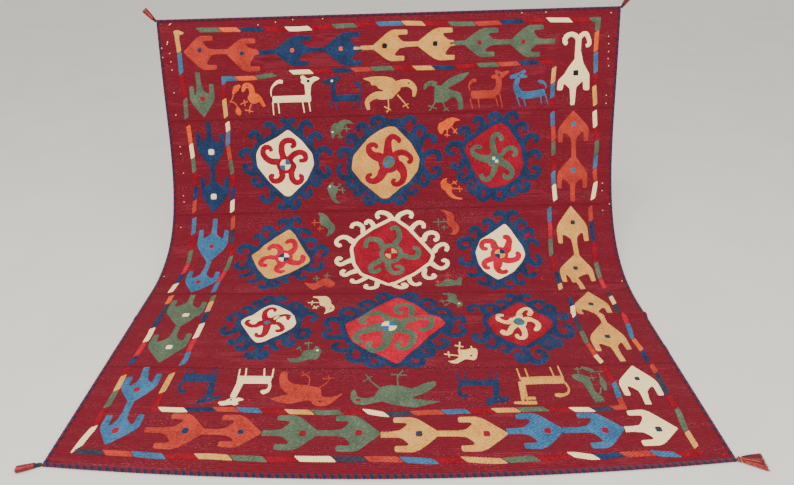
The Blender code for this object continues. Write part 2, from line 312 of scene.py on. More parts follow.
def crewel(name, colour, dark, pale, contrast):
    """Two-ply crewel wool in close slanting rows: matt, softly fuzzy, flecked where the plies cross.

    The rows are drawn at 5.8 mm, some three times their real pitch, so that they show in the render.
    """
    material, tree, shader = new_material(f"crewel wool, {name}")
    flat_place = add_node(tree, "UVMap", {"uv_map": "cloth"}).outputs["UV"]
    turned = add_node(tree, "Mapping", Vector=flat_place, Rotation=(0.0, 0.0, STITCH_SLANT)).outputs[0]
    fineness = WAVE_PITCH / STITCH_PITCH
    rows = add_node(tree, "TexWave", {"bands_direction": "Y"}, Vector=turned, Scale=fineness,
                    Distortion=1.6, Detail=2.0, Detail_Scale=0.8).outputs["Fac"]
    fleck_place = add_node(tree, "Mapping", Vector=turned, Scale=(110.0, 380.0, 1.0)).outputs[0]
    flecks = add_node(tree, "TexNoise", Vector=fleck_place, Scale=1.0, Detail=2.0, Roughness=0.7).outputs[0]
    clouds = add_node(tree, "TexNoise", Vector=flat_place, Scale=22.0, Detail=2.0).outputs[0]
    mix = add_node(tree, "Math", MULTIPLY_ADD, _0=clouds, _1=0.45, _2=flecks).outputs[0]
    palest = MIDDLE_TONE + contrast * 0.5 + (0.2 if contrast < 0.4 else 0.0)
    stops = ((MIDDLE_TONE - contrast * 0.5, dark), (palest, pale), (MIDDLE_TONE, colour))
    plies = add_node(tree, "ValToRGB", stops=stops, Fac=mix).outputs[0]
    # The furrows between the rows are darkened in the colour: painted shade, kept lighter on the cream
    # wool.
    deepest_painted_shade = 0.9 if name == "cream" else 0.77
    painted_furrow_shade = add_node(tree, "MapRange", Value=rows, From_Max=0.4, To_Min=deepest_painted_shade).outputs[0]
    shaded = add_node(tree, "MixRGB", {"blend_type": "MULTIPLY"}, Color1=plies, Fac=1.0, Color2=painted_furrow_shade)
    fuzz = add_node(tree, "MapRange", Value=flecks, To_Max=0.4).outputs[0]
    relief = add_node(tree, "Math", {"operation": "ADD"}, _0=rows, _1=fuzz).outputs[0]
    make_woolly(tree, shader, shaded.outputs[0], relief, 0.6, 0.0009, 0.9, 0.12, pale)
    return material


crewel_wools = {name: crewel(name, *dye) for name, dye in WOOL_DYES.items()}
worked = {}


def wool_in_hand(colour):
    """The stitching so far in one colour on the strip in hand, and a hair's lift to lay the next on."""
    entry = worked.setdefault(colour, [bmesh.new(), 0])
    entry[1] += 1
    return entry[0], (entry[1] % 7) * HAIR


def flat_points(spots):
    """Places given in millimetres across and down, as metres across and up the flat cloth."""
    return np.array(spots, dtype=float).reshape(-1, 2) * (MM, -MM)


def run_through(spots, widths, spacing):
    """A smooth line through a few places, with the half width of the work along it."""
    points = flat_points(spots)
    steps = np.linalg.norm(np.diff(points, axis=0), axis=1)
    reach = np.concatenate(([0.0], np.cumsum(steps)))
    slopes = np.gradient(points, reach, axis=0)
    along = np.linspace(0.0, reach[-1], max(2, round(reach[-1] / spacing)) + 1)
    piece = np.clip(np.searchsorted(reach, along, side="right") - 1, 0, len(steps) - 1)
    step = steps[piece][:, None]
    t = (along - reach[piece])[:, None] / step
    line = points[piece] * (1 + 2 * t) * (1 - t) ** 2 + points[piece + 1] * (3 - 2 * t) * t * t
    line += slopes[piece] * step * t * (1 - t) ** 2 + slopes[piece + 1] * step * (t - 1) * t * t
    places = reach / reach[-1] if len(widths) == len(points) else np.linspace(0.0, 1.0, len(widths))
    return line, np.interp(along / reach[-1], places, widths) * (MM / 2)


def work_line(colour, spots, widths, over=0.0, blunt=False, spacing=STITCH_SPACING):
    """A worked line through a few places, its widths in millimetres from its start to its end."""
    line, half = run_through(spots, widths, spacing)
    half += np.where(np.arange(len(half)) % 2, STEPPED_EDGE, -STEPPED_EDGE)
    if not blunt:
        half[0] *= ROUNDED_END
        half[-1] *= ROUNDED_END
    close_line(colour, line, half, over, False)


def close_line(colour, line, half, over, ring):
    """The closed, padded body of a worked line."""
    shape, hair = wool_in_hand(colour)
    base = SHEET + over + hair
    ahead = np.gradient(line, axis=0)
    if ring:
        ahead[0] = ahead[-1] = line[1] - line[-2]
    ahead /= np.linalg.norm(ahead, axis=1)[:, None]
    side = np.stack((-ahead[:, 1], ahead[:, 0]), axis=1)
    last = len(line) - 1
    rings = last if ring else last + 2
    sides = len(LINE_SECTION)
    made = bmesh.ops.create_grid(shape, x_segments=rings, y_segments=sides, size=1.0)["verts"]
    for vert in made:
        turn = round((vert.co.x + 1) / 2 * rings)
        across, height = LINE_SECTION[round((vert.co.y + 1) / 2 * sides) % sides]
        index = turn if ring else min(max(turn - 1, 0), last)
        if not ring and turn in (0, rings):
            across = 0.0
            height = LINE_END_HEIGHT
        spot = line[index] + side[index] * (half[index] * across)
        rise = height * STITCH_HEIGHT if height > 0 else height * 2 * STITCH_SUNK - over
        vert.co = (spot[0], spot[1], base + rise)
    faces = list({face for vert in made for face in vert.link_faces})
    bmesh.ops.remove_doubles(shape, verts=made, dist=TOUCHING)
    bmesh.ops.recalc_face_normals(shape, faces=[face for face in faces if face.is_valid])


def softened(points, passes, spacing=OUTLINE_SPACING):
    """A closed outline through these corners, sampled evenly and smoothed so that they round off."""
    loop = np.concatenate((points, points[:1]))
    reach = np.concatenate(([0.0], np.cumsum(np.linalg.norm(np.diff(loop, axis=0), axis=1))))
    along = np.linspace(0.0, reach[-1], max(8, round(reach[-1] / spacing)), endpoint=False)
    outline = np.stack([np.interp(along, reach, loop[:, axis]) for axis in (0, 1)], axis=1)
    for _ in range(passes):
        outline = outline / 2 + (np.roll(outline, 1, axis=0) + np.roll(outline, -1, axis=0)) / 4
    ahead = np.roll(outline, -1, axis=0) - np.roll(outline, 1, axis=0)
    out = np.stack((-ahead[:, 1], ahead[:, 0]), axis=1) / np.linalg.norm(ahead, axis=1)[:, None]
    steps = np.where(np.arange(len(outline)) % 2, 1.0, -1.0)[:, None]
    return outline + out * steps * STEPPED_EDGE * spacing / OUTLINE_SPACING


def work_patch(colour, spots, passes=3, over=0.0, spacing=OUTLINE_SPACING):
    """A filled figure with these corners in millimetres, which the passes round off."""
    fill_outline(colour, softened(flat_points(spots), passes, spacing), over)


def fill_outline(colour, outline, over):
    """A padded patch: a raised face with a soft rim, cut into rows so that it follows the cloth."""
    shape, hair = wool_in_hand(colour)
    base = SHEET + over + hair
    patch = bmesh.new()
    rim = bmesh.ops.create_circle(patch, cap_ends=True, segments=len(outline), radius=1.0)["verts"]
    for vert, spot in zip(rim, outline):
        vert.co = (spot[0], spot[1], SHEET - STITCH_SUNK)
    grown = bmesh.ops.extrude_face_region(patch, geom=patch.faces[:])["geom"]
    for part in grown:
        if isinstance(part, bmesh.types.BMVert):
            part.co.z = base + STITCH_HEIGHT * SIDE_RISE
    top = [part for part in grown if isinstance(part, bmesh.types.BMFace)]
    bmesh.ops.recalc_face_normals(patch, faces=patch.faces)
    rise = STITCH_HEIGHT * RIM_RISE
    bmesh.ops.inset_individual(patch, faces=top, thickness=RIM, depth=rise, use_even_offset=True)
    for axis, pitch in ((1, PATCH_ROW), (0, PATCH_COLUMN)):
        low, high = outline[:, axis].min(), outline[:, axis].max()
        normal = (0.0, 1.0, 0.0) if axis else (1.0, 0.0, 0.0)
        for level in range(math.ceil(low / pitch), math.floor(high / pitch) + 1):
            cut = [part * level * pitch for part in normal]
            every = patch.verts[:] + patch.edges[:] + patch.faces[:]
            bmesh.ops.bisect_plane(patch, geom=every, dist=CUT_SNAP, plane_co=cut, plane_no=normal)
    bmesh.ops.triangulate(patch, faces=[face for face in patch.faces if len(face.verts) > 4])
    mesh = bpy.data.meshes.new("patch")
    patch.to_mesh(mesh)
    patch.free()
    shape.from_mesh(mesh)
    bpy.data.meshes.remove(mesh)


def finish_strip(number):
    for colour in sorted(worked):
        name = f"stitching_{number}_{colour}"
        lay_piece(name, worked[colour][0], crewel_wools[colour])
    worked.clear()


# ---- Border stripes ---------------------------------------------------------------------------------
# Two rows of short stripes frame the field, worked in blocks of one colour with slanting ends. Each
# block is some twenty stitches long; the next colour starts against the last.
STRIPE_HALF = 7.1
STRIPE_SLANT = 15.0
UPRIGHT_SLANT = 9.0
STRIPE_PLACES = (0.02, 0.35, 0.65, 0.98)  # the shares of a block's length where its edges are set out
TUFT = 3.4
BEAD_LIFT = 0.0005
BEAD_SPACING = 0.0012
EYE_SPACING = 0.0015


def stripe(path, blocks, upright=False):
    """A run of colour blocks along a path; each starts where the last ends, and None leaves a gap."""
    spots = np.array(path, dtype=float).reshape(-1, 2)
    along, aside = (1, 0) if upright else (0, 1)
    lean = -UPRIGHT_SLANT / 2 if upright else STRIPE_SLANT / 2
    for (colour, start), (_, end) in zip(blocks, blocks[1:]):
        if colour is None:
            continue
        edges = []
        for side, low, high in ((-1, start, end), (1, end, start)):
            for share in STRIPE_PLACES:
                place_along = low + (high - low) * share + side * lean
                middle = np.interp(place_along, spots[:, along], spots[:, aside])
                spot = [0.0, 0.0]
                spot[along] = place_along
                spot[aside] = middle + side * STRIPE_HALF
                edges.extend(spot)
        work_patch(colour, edges, passes=1)


def square_spots(x, d, size):
    """The corners of a square round a middle, in millimetres."""
    half = size / 2
    return (x - half, d - half, x + half, d - half, x + half, d + half, x - half, d + half)


def knots(*spots):
    """Pale ends of thread, cut short, that show as little tufts on the face."""
    for x, d in spots:
        bead("cream", x, d, TUFT)


def bead(colour, x, d, size=5.0):
    """A small round knot of wool, also an animal's eye."""
    work_patch(colour, square_spots(x, d, size), 2, BEAD_LIFT, BEAD_SPACING)


# ---- Fish-headed darts ------------------------------------------------------------------------------
# Pairs of fish-shaped darts follow each other round the border: a pointed head, two barbs and a stem,
# with a small square eye in another wool.
BARB_WIDTH = 16.0
STEM_WIDTH = 17.0
DART_TURNS = {"left": (1, 0, 0, -1), "right": (-1, 0, 0, -1), "up": (0, 1, -1, 0), "down": (0, -1, -1, 0)}


def dart(colour, tip, aim, first, second, stem=None, eye=None, eye_wool="red", eye_size=15.0):
    """One head. first and second are how far back, and how far out, its two barbs end.

    The first barb is the upper one, or the left one. stem is the far end of its stem, or the places it
    runs through from the head. eye is the eye's middle.
    """
    back_x, back_d, side_x, side_d = DART_TURNS[aim]
    reach = min(first[0], second[0]) - 25
    aside = 0.0
    if stem:
        aside = (stem[0] - tip[0]) * side_x + (stem[1] - tip[1]) * side_d
    if stem and len(stem) == 2:
        aside *= 0.8
        root = (tip[0] + reach * back_x + aside * side_x, tip[1] + reach * back_d + aside * side_d)
        stem = (*root, *stem)
    corners = []
    for sign, (reach, spread) in ((1, first), (-1, second)):
        notch = spread - BARB_WIDTH
        near = STEM_WIDTH / 2 + sign * aside
        # One half of the head, from its tip round the barb to the stem: how far back and how far out.
        half = [
            (0, 0), (0.32 * reach, 0.60 * spread), (0.48 * reach, 0.88 * spread), (0.62 * reach, spread),
            (reach, spread - 1), (reach + 1, notch), (reach - 28, notch - 0.5), (reach - 32, notch - 4),
            (reach - 26, (notch + near) / 2), (reach - 14, near + 1.5), (reach + 4, near),
        ]
        half = [(back, sign * side) for back, side in half]
        corners.extend(half if sign > 0 else half[:0:-1])
    spots = []
    for back, side in corners:
        spots.extend((tip[0] + back * back_x + side * side_x, tip[1] + back * back_d + side * side_d))
    work_patch(colour, spots, passes=2)
    if stem:
        work_line(colour, stem, (STEM_WIDTH, STEM_WIDTH), blunt=True)
    if eye:
        work_patch(eye_wool, square_spots(*eye, eye_size), 2, INLAID)


# ---- Animals and birds ------------------------------------------------------------------------------
# Deer and birds are each worked in one wool: a broad body, then the neck, head, tail and legs as
# single lines of stitches, narrower towards their ends.
def figure(colour, *lines):
    """A figure of worked lines; each is its places and then its widths."""
    for spots, widths in lines:
        work_line(colour, spots, widths)


def claw(colour, *spots, width=4.0):
    """Thin single-thread lines for legs and toes; each is the places it runs through."""
    for line in spots:
        work_line(colour, line, (width + 1, width), blunt=True)


# ---- First strip: top border and animals ------------------------------------------------------------
# The first strip carries the border's top row of darts between its two stripes, and under them a row
# of birds and deer with their feet down. A forked ram's head fills the upper right corner.
stripe(
    (-640, 35, -520, 37, -400, 38, -300, 41, -200, 37, -40, 33, 60, 33, 190, 40, 300, 42, 400, 38, 500, 36,
     640, 41),
    [("green", -620), ("orange", -548), ("navy", -485), ("madder", -408), ("cream", -335), ("madder", -255),
     ("green", -183), ("madder", -108), ("blue", -42), ("tan", 42), ("madder", 112), ("green", 192),
     ("rust", 278), ("navy", 360), ("madder", 435), ("cream", 512), ("madder", 590), (None, 648)])
stripe(
    (-560, 189, -450, 189, -400, 183, -330, 175, -200, 174, -100, 173, 0, 171, 100, 174, 200, 175, 300, 171,
     400, 170, 450, 167, 540, 168),
    [("blue", -530), ("orange", -508), ("green", -440), (None, -378), ("cream", -327), ("madder", -256),
     ("navy", -190), ("rust", -125), ("green", -62), ("madder", 12), ("tan", 78), ("navy", 143),
     ("madder", 212), ("green", 288), ("rust", 355), ("navy", 425), ("madder", 492), (None, 538)])
stripe(
    (-689, 40, -685, 98, -685, 168, -681, 245, -684, 320),
    [("tan", 48), ("blue", 102), ("madder", 170), ("green", 246), (None, 314)], upright=True)
stripe((-548, 190, -552, 250, -550, 320), [("madder", 206), ("tan", 252), (None, 314)], upright=True)
stripe(
    (675, 60, 675, 140, 679, 208, 676, 245, 685, 320),
    [("orange", 75), ("blue", 140), ("madder", 208), ("tan", 247), (None, 313)], upright=True)
stripe(
    (541, 180, 539, 235, 540, 320), [("tan", 184), ("blue", 236), ("madder", 283), (None, 314)],
    upright=True)
work_patch("tan", (-698, 36, -683, 33, -663, 42, -671, 48, -681, 48, -678, 56, -694, 56), 1)
work_patch("blue", (-555, 181, -522, 180, -512, 196, -541, 196, -543, 203, -555, 210), 1)
work_patch("green", (645, 34, 662, 32, 686, 32, 684, 72, 669, 77, 668, 50, 656, 44), 1)

dart("rust", (-672, 102), "left", (98, 49), (105, 58), (-530, 104), (-619, 97), "navy", 13)
dart("rust", (-540, 104), "left", (103, 39), (114, 65), (-437, 108), (-482, 111), "navy", 13)
dart("navy", (-384, 107), "left", (129, 46), (118, 50), (-215, 107), (-318, 106), "orange", 13)
dart("navy", (-222, 107), "left", (124, 52), (129, 53), (-124, 107), (-160, 106), "orange", 13)
dart("tan", (-62, 105), "left", (119, 53), (109, 45), (90, 98), (-17, 101), "night", 16)
dart("tan", (82, 98), "left", (122, 48), (130, 54), (192, 98), (148, 99), "night", 15)
dart("green", (235, 99), "left", (118, 44), (107, 47), (395, 101), (293, 100), "red", 13)
dart("green", (386, 102), "left", (114, 52), (106, 49), (540, 103), (436, 102), "red", 13)
work_line("navy", (-430, 111, -375, 108), (15, 17), blunt=True)
work_line("tan", (-118, 106, -50, 105), (14, 15), blunt=True)
work_line("green", (190, 100, 245, 99), (14, 15), blunt=True)
dart("green", (-624, 312), "down", (102, 41), (108, 42), (-633, 166), (-623, 250))

work_patch(
    "cream",
    (607, 135, 626, 135, 636, 175, 658, 210, 661, 262, 641, 261, 638, 231, 617, 251, 615, 305, 601, 305,
     596, 255, 575, 237, 572, 260, 553, 259, 556, 227, 574, 210, 589, 185, 608, 160), 3)
work_line("cream", (616, 155, 617, 97), (20, 20), blunt=True)
figure(
    "cream", ((617, 105, 610, 91, 592, 83, 574, 93, 573, 108, 580, 113), (18, 17, 16, 18, 16, 14)),
    ((616, 105, 624, 89, 638, 82, 649, 97, 651, 117, 641, 121), (18, 17, 16, 15, 15, 13)),
    ((607, 295, 608, 308), (16, 17)))
bead("night", 613, 205, 17)

work_patch(
    "orange",
    (-492, 226, -490, 214, -484, 206, -474, 203, -462, 205, -452, 213, -449, 225, -448, 238, -438, 240,
     -427, 252, -414, 281, -424, 284, -436, 265, -448, 272, -460, 271, -467, 266, -474, 254, -473, 248,
     -467, 240, -467, 228, -471, 219, -477, 222, -483, 232, -491, 234), 1)
bead("slate", -471, 213)
figure(
    "orange", ((-522, 239, -510, 221, -495, 211), (7, 22, 8)),
    ((-509, 281, -508, 295, -503, 308), (8, 23, 9)))
claw(
    "orange", (-520, 241, -526, 255, -533, 265), (-535, 262, -518, 267, -509, 282), (-474, 263, -500, 272),
    (-486, 257, -484, 278), (-462, 271, -470, 289, -471, 302), (-486, 291, -458, 297), width=4.2)
figure(
    "cream", ((-391, 260, -263, 260), (23, 24)),
    ((-394, 250, -395, 235, -391, 222, -380, 210, -366, 203, -354, 205), (4, 5, 6, 10, 13, 13)))
work_patch(
    "cream",
    (-296, 190, -292, 186, -284, 186, -279, 192, -272, 196, -262, 195, -252, 190, -243, 191, -231, 197,
     -240, 202, -250, 206, -258, 213, -262, 222, -264, 240, -266, 262, -281, 262, -282, 230, -283, 214,
     -292, 211, -296, 205, -290, 201, -294, 197), 1)
claw(
    "cream", (-391, 268, -390, 310), (-373, 268, -371, 306), (-292, 268, -287, 306), (-271, 266, -267, 302),
    width=4)
bead("night", -270, 204, 9)
figure(
    "navy", ((-226, 209, -197, 208, -176, 205), (5, 25, 20)), ((-184, 202, -163, 192), (14, 9)),
    ((-189, 212, -187, 258), (17, 18)), ((-194, 262, -98, 262), (23, 23)),
    ((-98, 252, -98, 234, -103, 222, -112, 215, -118, 211), (5, 6, 12, 14, 7)))
claw(
    "navy", (-196, 268, -198, 295), (-181, 272, -180, 300), (-121, 270, -119, 299), (-101, 266, -97, 296),
    width=4)
bead("cream", -192, 206, 7)
work_patch(
    "tan",
    (-91, 202, -55, 196, -15, 197, 8, 203, 24, 217, 36, 239, 20, 255, 6, 269, -20, 272, -45, 269, -30, 250,
     -22, 241, -38, 236, -45, 224, -62, 224, -66, 212, -80, 207), 2)
figure(
    "tan", ((-10, 259, -48, 257, -76, 277, -72, 303), (26, 24, 18, 13)),
    ((12, 231, 38, 221, 62, 222, 80, 239, 79, 265), (28, 26, 25, 19, 11)))
claw(
    "tan", (24, 257, 50, 287, 61, 302), (42, 296, 61, 287), (-6, 271, -5, 303), (-20, 294, 2, 306),
    (-12, 313, -4, 303))
bead("slate", 62, 221, 5.5)
work_patch("green", (146, 249, 150, 231, 166, 231, 198, 244, 216, 253, 206, 271, 182, 286, 147, 287), 3)
figure(
    "green", ((114, 244, 119, 230, 134, 223, 154, 229), (8, 14, 16, 22)),
    ((198, 259, 224, 265, 234, 288, 236, 312), (22, 24, 18, 17)),
    ((168, 243, 204, 221, 236, 206, 260, 194), (18, 28, 23, 5)))
claw(
    "green", (149, 285, 140, 301, 130, 313), (127, 295, 156, 307), (176, 285, 184, 305, 197, 315),
    (178, 314, 194, 304))
bead("slate", 135, 225)
figure(
    "rust", ((268, 265, 352, 265), (28, 29)), ((348, 265, 359, 243, 359, 208), (26, 22, 20)),
    ((334, 210, 362, 206, 393, 193), (9, 25, 7)), ((346, 191, 362, 198), (10, 14)),
    ((265, 252, 262, 233, 268, 223, 278, 219, 286, 220), (5, 6, 10, 14, 10)))
claw("rust", (266, 277, 275, 310), (293, 278, 298, 309), (352, 277, 360, 306), (364, 265, 375, 310))
bead("slate", 360, 203, 7)
figure(
    "blue", ((396, 212, 420, 209, 453, 212), (11, 19, 8)), ((426, 206, 447, 193), (15, 12)),
    ((424, 215, 417, 243, 430, 267), (16, 19, 28)), ((420, 265, 446, 271, 514, 264), (18, 27, 24)),
    ((516, 253, 516, 242, 510, 234, 500, 230, 488, 228), (4, 5, 9, 13, 6)))
claw("blue", (421, 275, 433, 307), (443, 281, 453, 308), (500, 275, 505, 302), (515, 269, 526, 304))
bead("slate", 424, 210)
knots(
    (-740, 87), (-716, 104), (-740, 116), (-715, 130), (-714, 156), (-716, 228), (-718, 300), (718, 20),
    (714, 93), (716, 116), (717, 141), (717, 163), (720, 186), (744, 210), (719, 280), (720, 306),
    (-424, 25), (-368, 18), (-312, 12), (-216, 12), (428, 12), (506, 12))
claw("cream", (-719, 66, -722, 77), (-710, 18, -702, 12), width=1.6)
finish_strip(1)

# ---- Second strip: the first row of medallions ------------------------------------------------------
# A medallion is a filled diamond with a ring of another wool close round it. Hooks spring from the
# ring, and a pinwheel of five curled arms turns on a small disc in the middle.
RING_GAP = 0.0013
CURL_WIDTHS = (31, 25, 21, 19, 18, 16)
CURL_ROOT = 9.0
CURL_DRAW = 0.9  # each hook draws in a little towards its root as it is worked
ARM_FULLNESS = 1.5  # the wool spreads as it is packed in
DISC_LIFT = INLAID + 0.0003
SPOT_LIFT = INLAID + 0.0004
QUARTER_LIFT = INLAID + 0.0005


def medallion(edge, field, ring_wool, band, curls, curl_widths=CURL_WIDTHS):
    """The filled diamond, its ring and the hooks; the edge's places run clockwise from the top."""
    outline = softened(flat_points(edge), 6)
    fill_outline(field, outline, FIELD_LIFT)
    ahead = np.roll(outline, -1, axis=0) - np.roll(outline, 1, axis=0)
    out = np.stack((-ahead[:, 1], ahead[:, 0]), axis=1) / np.linalg.norm(ahead, axis=1)[:, None]
    half_band = band * (MM / 2)
    circuit = outline + out * (RING_GAP + half_band)
    circuit = np.concatenate((circuit, circuit[:1]))
    close_line(ring_wool, circuit, np.full(len(circuit), half_band), 0.0, True)
    centre = np.array(edge, dtype=float).reshape(-1, 2).mean(axis=0)
    for curl in curls:
        start = np.array(curl[:2])
        drawn = start + (np.array(curl, dtype=float).reshape(-1, 2) - start) * CURL_DRAW
        root = start + (centre - start) / np.linalg.norm(centre - start) * CURL_ROOT
        work_line(ring_wool, (*root, *drawn.ravel()), curl_widths)


def pinwheel(colour, arms, hub_x, hub_d, hub_size):
    """Five curled arms round a hub; each arm is its places and then its widths."""
    for spots, widths in arms:
        inner = ((hub_x + spots[0]) / 2, (hub_d + spots[1]) / 2)
        widths = [width * ARM_FULLNESS for width in widths]
        work_line(colour, (*inner, *spots), (widths[0], *widths), INLAID)
    work_patch(colour, round_spots(hub_x, hub_d, hub_size), 1, INLAID)


def round_spots(x, d, size, turns=14):
    """The places round a circle in millimetres."""
    angles = [2 * math.pi * turn / turns for turn in range(turns)]
    return [part for angle in angles for part in (x + size * math.cos(angle), d + size * math.sin(angle))]


def quartered(x, d, size, wool, other):
    """A small disc in four quarters; other is the wool of the upper right and the lower left one."""
    work_patch(wool, round_spots(x, d, size), 1, DISC_LIFT, FINE_SPACING)
    for over in (1, -1):
        wedge = [x, d]
        for turn in range(5):
            angle = math.pi / 8 * turn
            wedge.extend((x + over * size * math.cos(angle), d - over * size * math.sin(angle)))
        work_patch(other, wedge, 1, QUARTER_LIFT, FINE_SPACING)


stripe(
    (-681, 335, -678, 395, -675, 440, -674, 480, -671, 520, -671, 560, -676, 600, -677, 640),
    [("orange", 335), ("cream", 397), ("green", 447), ("madder", 495), ("navy", 541), ("rust", 590),
     (None, 635)], upright=True)
stripe(
    (-548, 322, -547, 360, -553, 400, -549, 440, -545, 480, -541, 510, -541, 550, -544, 590, -545, 640),
    [("cream", 328), ("blue", 360), ("rust", 408), ("green", 456), ("madder", 505), ("navy", 550),
     ("cream", 593), (None, 636)], upright=True)
stripe(
    (542, 325, 546, 370, 549, 400, 551, 450, 554, 500, 552, 545, 556, 590, 559, 630),
    [("blue", 328), ("rust", 375), ("green", 426), ("madder", 473), ("blue", 526), ("cream", 571),
     (None, 628)], upright=True)
stripe(
    (683, 325, 688, 378, 692, 405, 697, 443, 694, 495, 692, 540, 696, 570, 690, 600, 684, 630),
    [("cream", 328), ("madder", 384), ("green", 428), ("blue", 476), ("rust", 521), ("cream", 566),
     (None, 628)], upright=True)
dart("navy", (-610, 490), "down", (130, 49), (124, 46), (-613, 325), (-610, 427), "cream", 19)
dart("navy", (-609, 638), "down", (123, 45), (123, 54), (-610, 480), (-609, 580), "cream", 19)
dart("rust", (612, 325), "up", (106, 47), (104, 55), (620, 480), (616, 371), "blue")
dart("rust", (620, 470), "up", (116, 55), (116, 47), (617, 632), (619, 525), "blue")

# Cream medallion with a red pinwheel.
medallion(
    (-345, 359, -300, 398, -266, 443, -261, 480, -287, 533, -343, 586, -361, 586, -417, 533, -455, 482,
     -458, 440, -443, 412, -383, 384), "cream", "navy", 18,
    ((-346, 352, -350, 332, -362, 325, -371, 332), (-344, 350, -338, 332, -326, 326, -316, 330),
     (-392, 365, -398, 344, -409, 334, -423, 344, -421, 352),
     (-442, 394, -445, 374, -459, 362, -476, 371, -474, 387),
     (-468, 438, -480, 428, -498, 424, -514, 433, -508, 446, -501, 449),
     (-462, 488, -468, 502, -486, 503, -503, 488, -502, 475, -486, 475),
     (-433, 533, -451, 547, -471, 541, -475, 524, -461, 522),
     (-404, 559, -406, 591, -424, 606, -445, 596, -443, 580),
     (-356, 597, -359, 621, -371, 630, -383, 621, -381, 609),
     (-348, 603, -342, 621, -327, 630, -312, 618, -314, 600, -324, 605),
     (-306, 374, -300, 347, -283, 333, -265, 341, -267, 355),
     (-274, 409, -268, 385, -250, 374, -233, 382, -240, 399),
     (-250, 450, -245, 435, -224, 424, -203, 432, -202, 449),
     (-250, 503, -233, 521, -218, 524, -206, 509, -209, 494, -220, 494),
     (-268, 538, -255, 550, -243, 545, -246, 528, -256, 524),
     (-306, 565, -295, 588, -286, 591, -271, 577, -277, 563)))
pinwheel(
    "red",
    (((-365, 453, -370, 427, -364, 403, -348, 396, -330, 400, -326, 412, -339, 419),
      (18, 17, 16, 16, 15, 13, 10)),
     ((-342, 456, -324, 441, -306, 437, -292, 444, -290, 462, -312, 466), (17, 16, 15, 15, 13, 10)),
     ((-333, 480, -339, 503, -336, 527, -321, 540, -305, 532, -305, 518, -314, 516),
      (18, 17, 16, 15, 14, 12, 10)),
     ((-371, 497, -371, 518, -383, 531, -403, 531, -411, 515, -398, 513), (18, 17, 16, 15, 14, 12, 10)),
     ((-383, 468, -406, 465, -427, 450, -434, 433, -427, 418, -412, 418, -403, 431),
      (18, 17, 16, 15, 15, 13, 10))), -359, 478, 31)
quartered(-359, 478, 19, "cream", "blue")

# Tan medallion with a red pinwheel.
medallion(
    (-8, 360, 16, 361, 70, 417, 99, 470, 93, 510, 60, 552, 33, 567, -8, 603, -30, 603, -100, 543, -133, 500,
     -127, 455, -77, 398, -40, 373), "tan", "navy", 18,
    ((-17, 347, -28, 332, -46, 327, -65, 335, -64, 350, -49, 347),
     (42, 350, 54, 335, 68, 330, 85, 340, 79, 356), (-78, 382, -80, 359, -96, 346, -111, 356, -108, 372),
     (-114, 412, -120, 391, -133, 381, -148, 393, -143, 409, -136, 407),
     (-139, 438, -161, 430, -177, 441, -173, 457, -161, 453),
     (-136, 522, -150, 530, -166, 526, -181, 508, -180, 487, -169, 481),
     (-114, 547, -128, 563, -145, 559, -149, 543, -136, 538),
     (-99, 565, -102, 582, -111, 591, -124, 582, -121, 572),
     (-58, 597, -61, 612, -73, 622, -90, 612, -87, 597, -74, 600),
     (13, 597, 24, 618, 36, 622, 51, 609, 51, 594, 36, 594), (48, 562, 60, 584, 75, 592, 90, 583, 90, 570),
     (92, 538, 104, 555, 120, 563, 132, 552, 124, 541),
     (104, 503, 124, 527, 148, 538, 174, 524, 174, 509, 160, 503, 148, 512),
     (105, 462, 136, 449, 154, 447, 174, 459, 174, 474, 160, 477),
     (92, 432, 107, 403, 130, 391, 154, 397, 158, 412, 145, 415),
     (80, 406, 77, 380, 89, 362, 104, 359, 120, 374, 114, 385)))
work_line("navy", (-12, 344, 5, 340, 28, 340, 42, 350), (10, 12, 12, 10))
pinwheel(
    "red",
    (((-8, 445, -8, 420, -5, 403, 5, 394, 20, 398, 29, 408, 24, 414), (26, 20, 18, 16, 14, 13, 10)),
     ((20, 452, 40, 448, 60, 457, 70, 470, 66, 481, 57, 478), (18, 16, 14, 13, 12, 9)),
     ((28, 492, 42, 510, 45, 530, 38, 548, 22, 556, 8, 550, 8, 542, 18, 540),
      (26, 22, 18, 16, 14, 12, 10, 8)),
     ((-25, 510, -38, 532, -62, 543, -78, 534, -76, 523, -63, 520), (26, 20, 16, 14, 12, 9)),
     ((-38, 462, -58, 455, -72, 440, -73, 425, -60, 418, -48, 424, -50, 432), (26, 20, 17, 15, 13, 11, 8))),
    -5, 480, 37)
quartered(-6, 479, 21, "green", "blue")

# Red medallion with a green pinwheel.
medallion(
    (372, 358, 393, 372, 440, 440, 450, 500, 438, 536, 397, 567, 343, 579, 307, 557, 280, 510, 268, 477,
     250, 445, 262, 423, 343, 370), "red", "navy", 17,
    ((368, 350, 359, 332, 345, 327, 330, 335, 339, 349), (389, 353, 397, 332, 412, 325, 428, 337, 420, 349),
     (303, 382, 312, 359, 300, 337, 283, 343, 286, 355), (262, 400, 259, 374, 249, 368, 234, 377, 234, 394),
     (242, 430, 227, 424, 209, 422, 190, 435, 192, 456, 206, 459, 212, 453),
     (250, 482, 236, 506, 218, 510, 206, 500, 218, 491),
     (277, 527, 262, 544, 245, 553, 228, 541, 233, 527, 246, 521),
     (303, 565, 295, 588, 277, 594, 264, 577, 265, 565, 280, 562),
     (333, 580, 330, 609, 312, 622, 296, 612, 297, 600, 309, 599),
     (347, 585, 353, 609, 368, 622, 386, 618, 395, 600, 383, 591),
     (397, 571, 400, 594, 415, 606, 428, 597, 424, 590),
     (433, 550, 433, 574, 442, 591, 459, 594, 472, 580, 465, 565, 453, 571),
     (456, 521, 465, 544, 486, 547, 506, 535, 509, 518, 495, 509, 483, 518),
     (456, 475, 470, 468, 480, 459, 497, 456, 511, 471, 499, 484),
     (445, 432, 459, 412, 480, 400, 500, 412, 493, 428),
     (421, 400, 418, 377, 436, 362, 447, 360, 462, 377, 452, 385)))
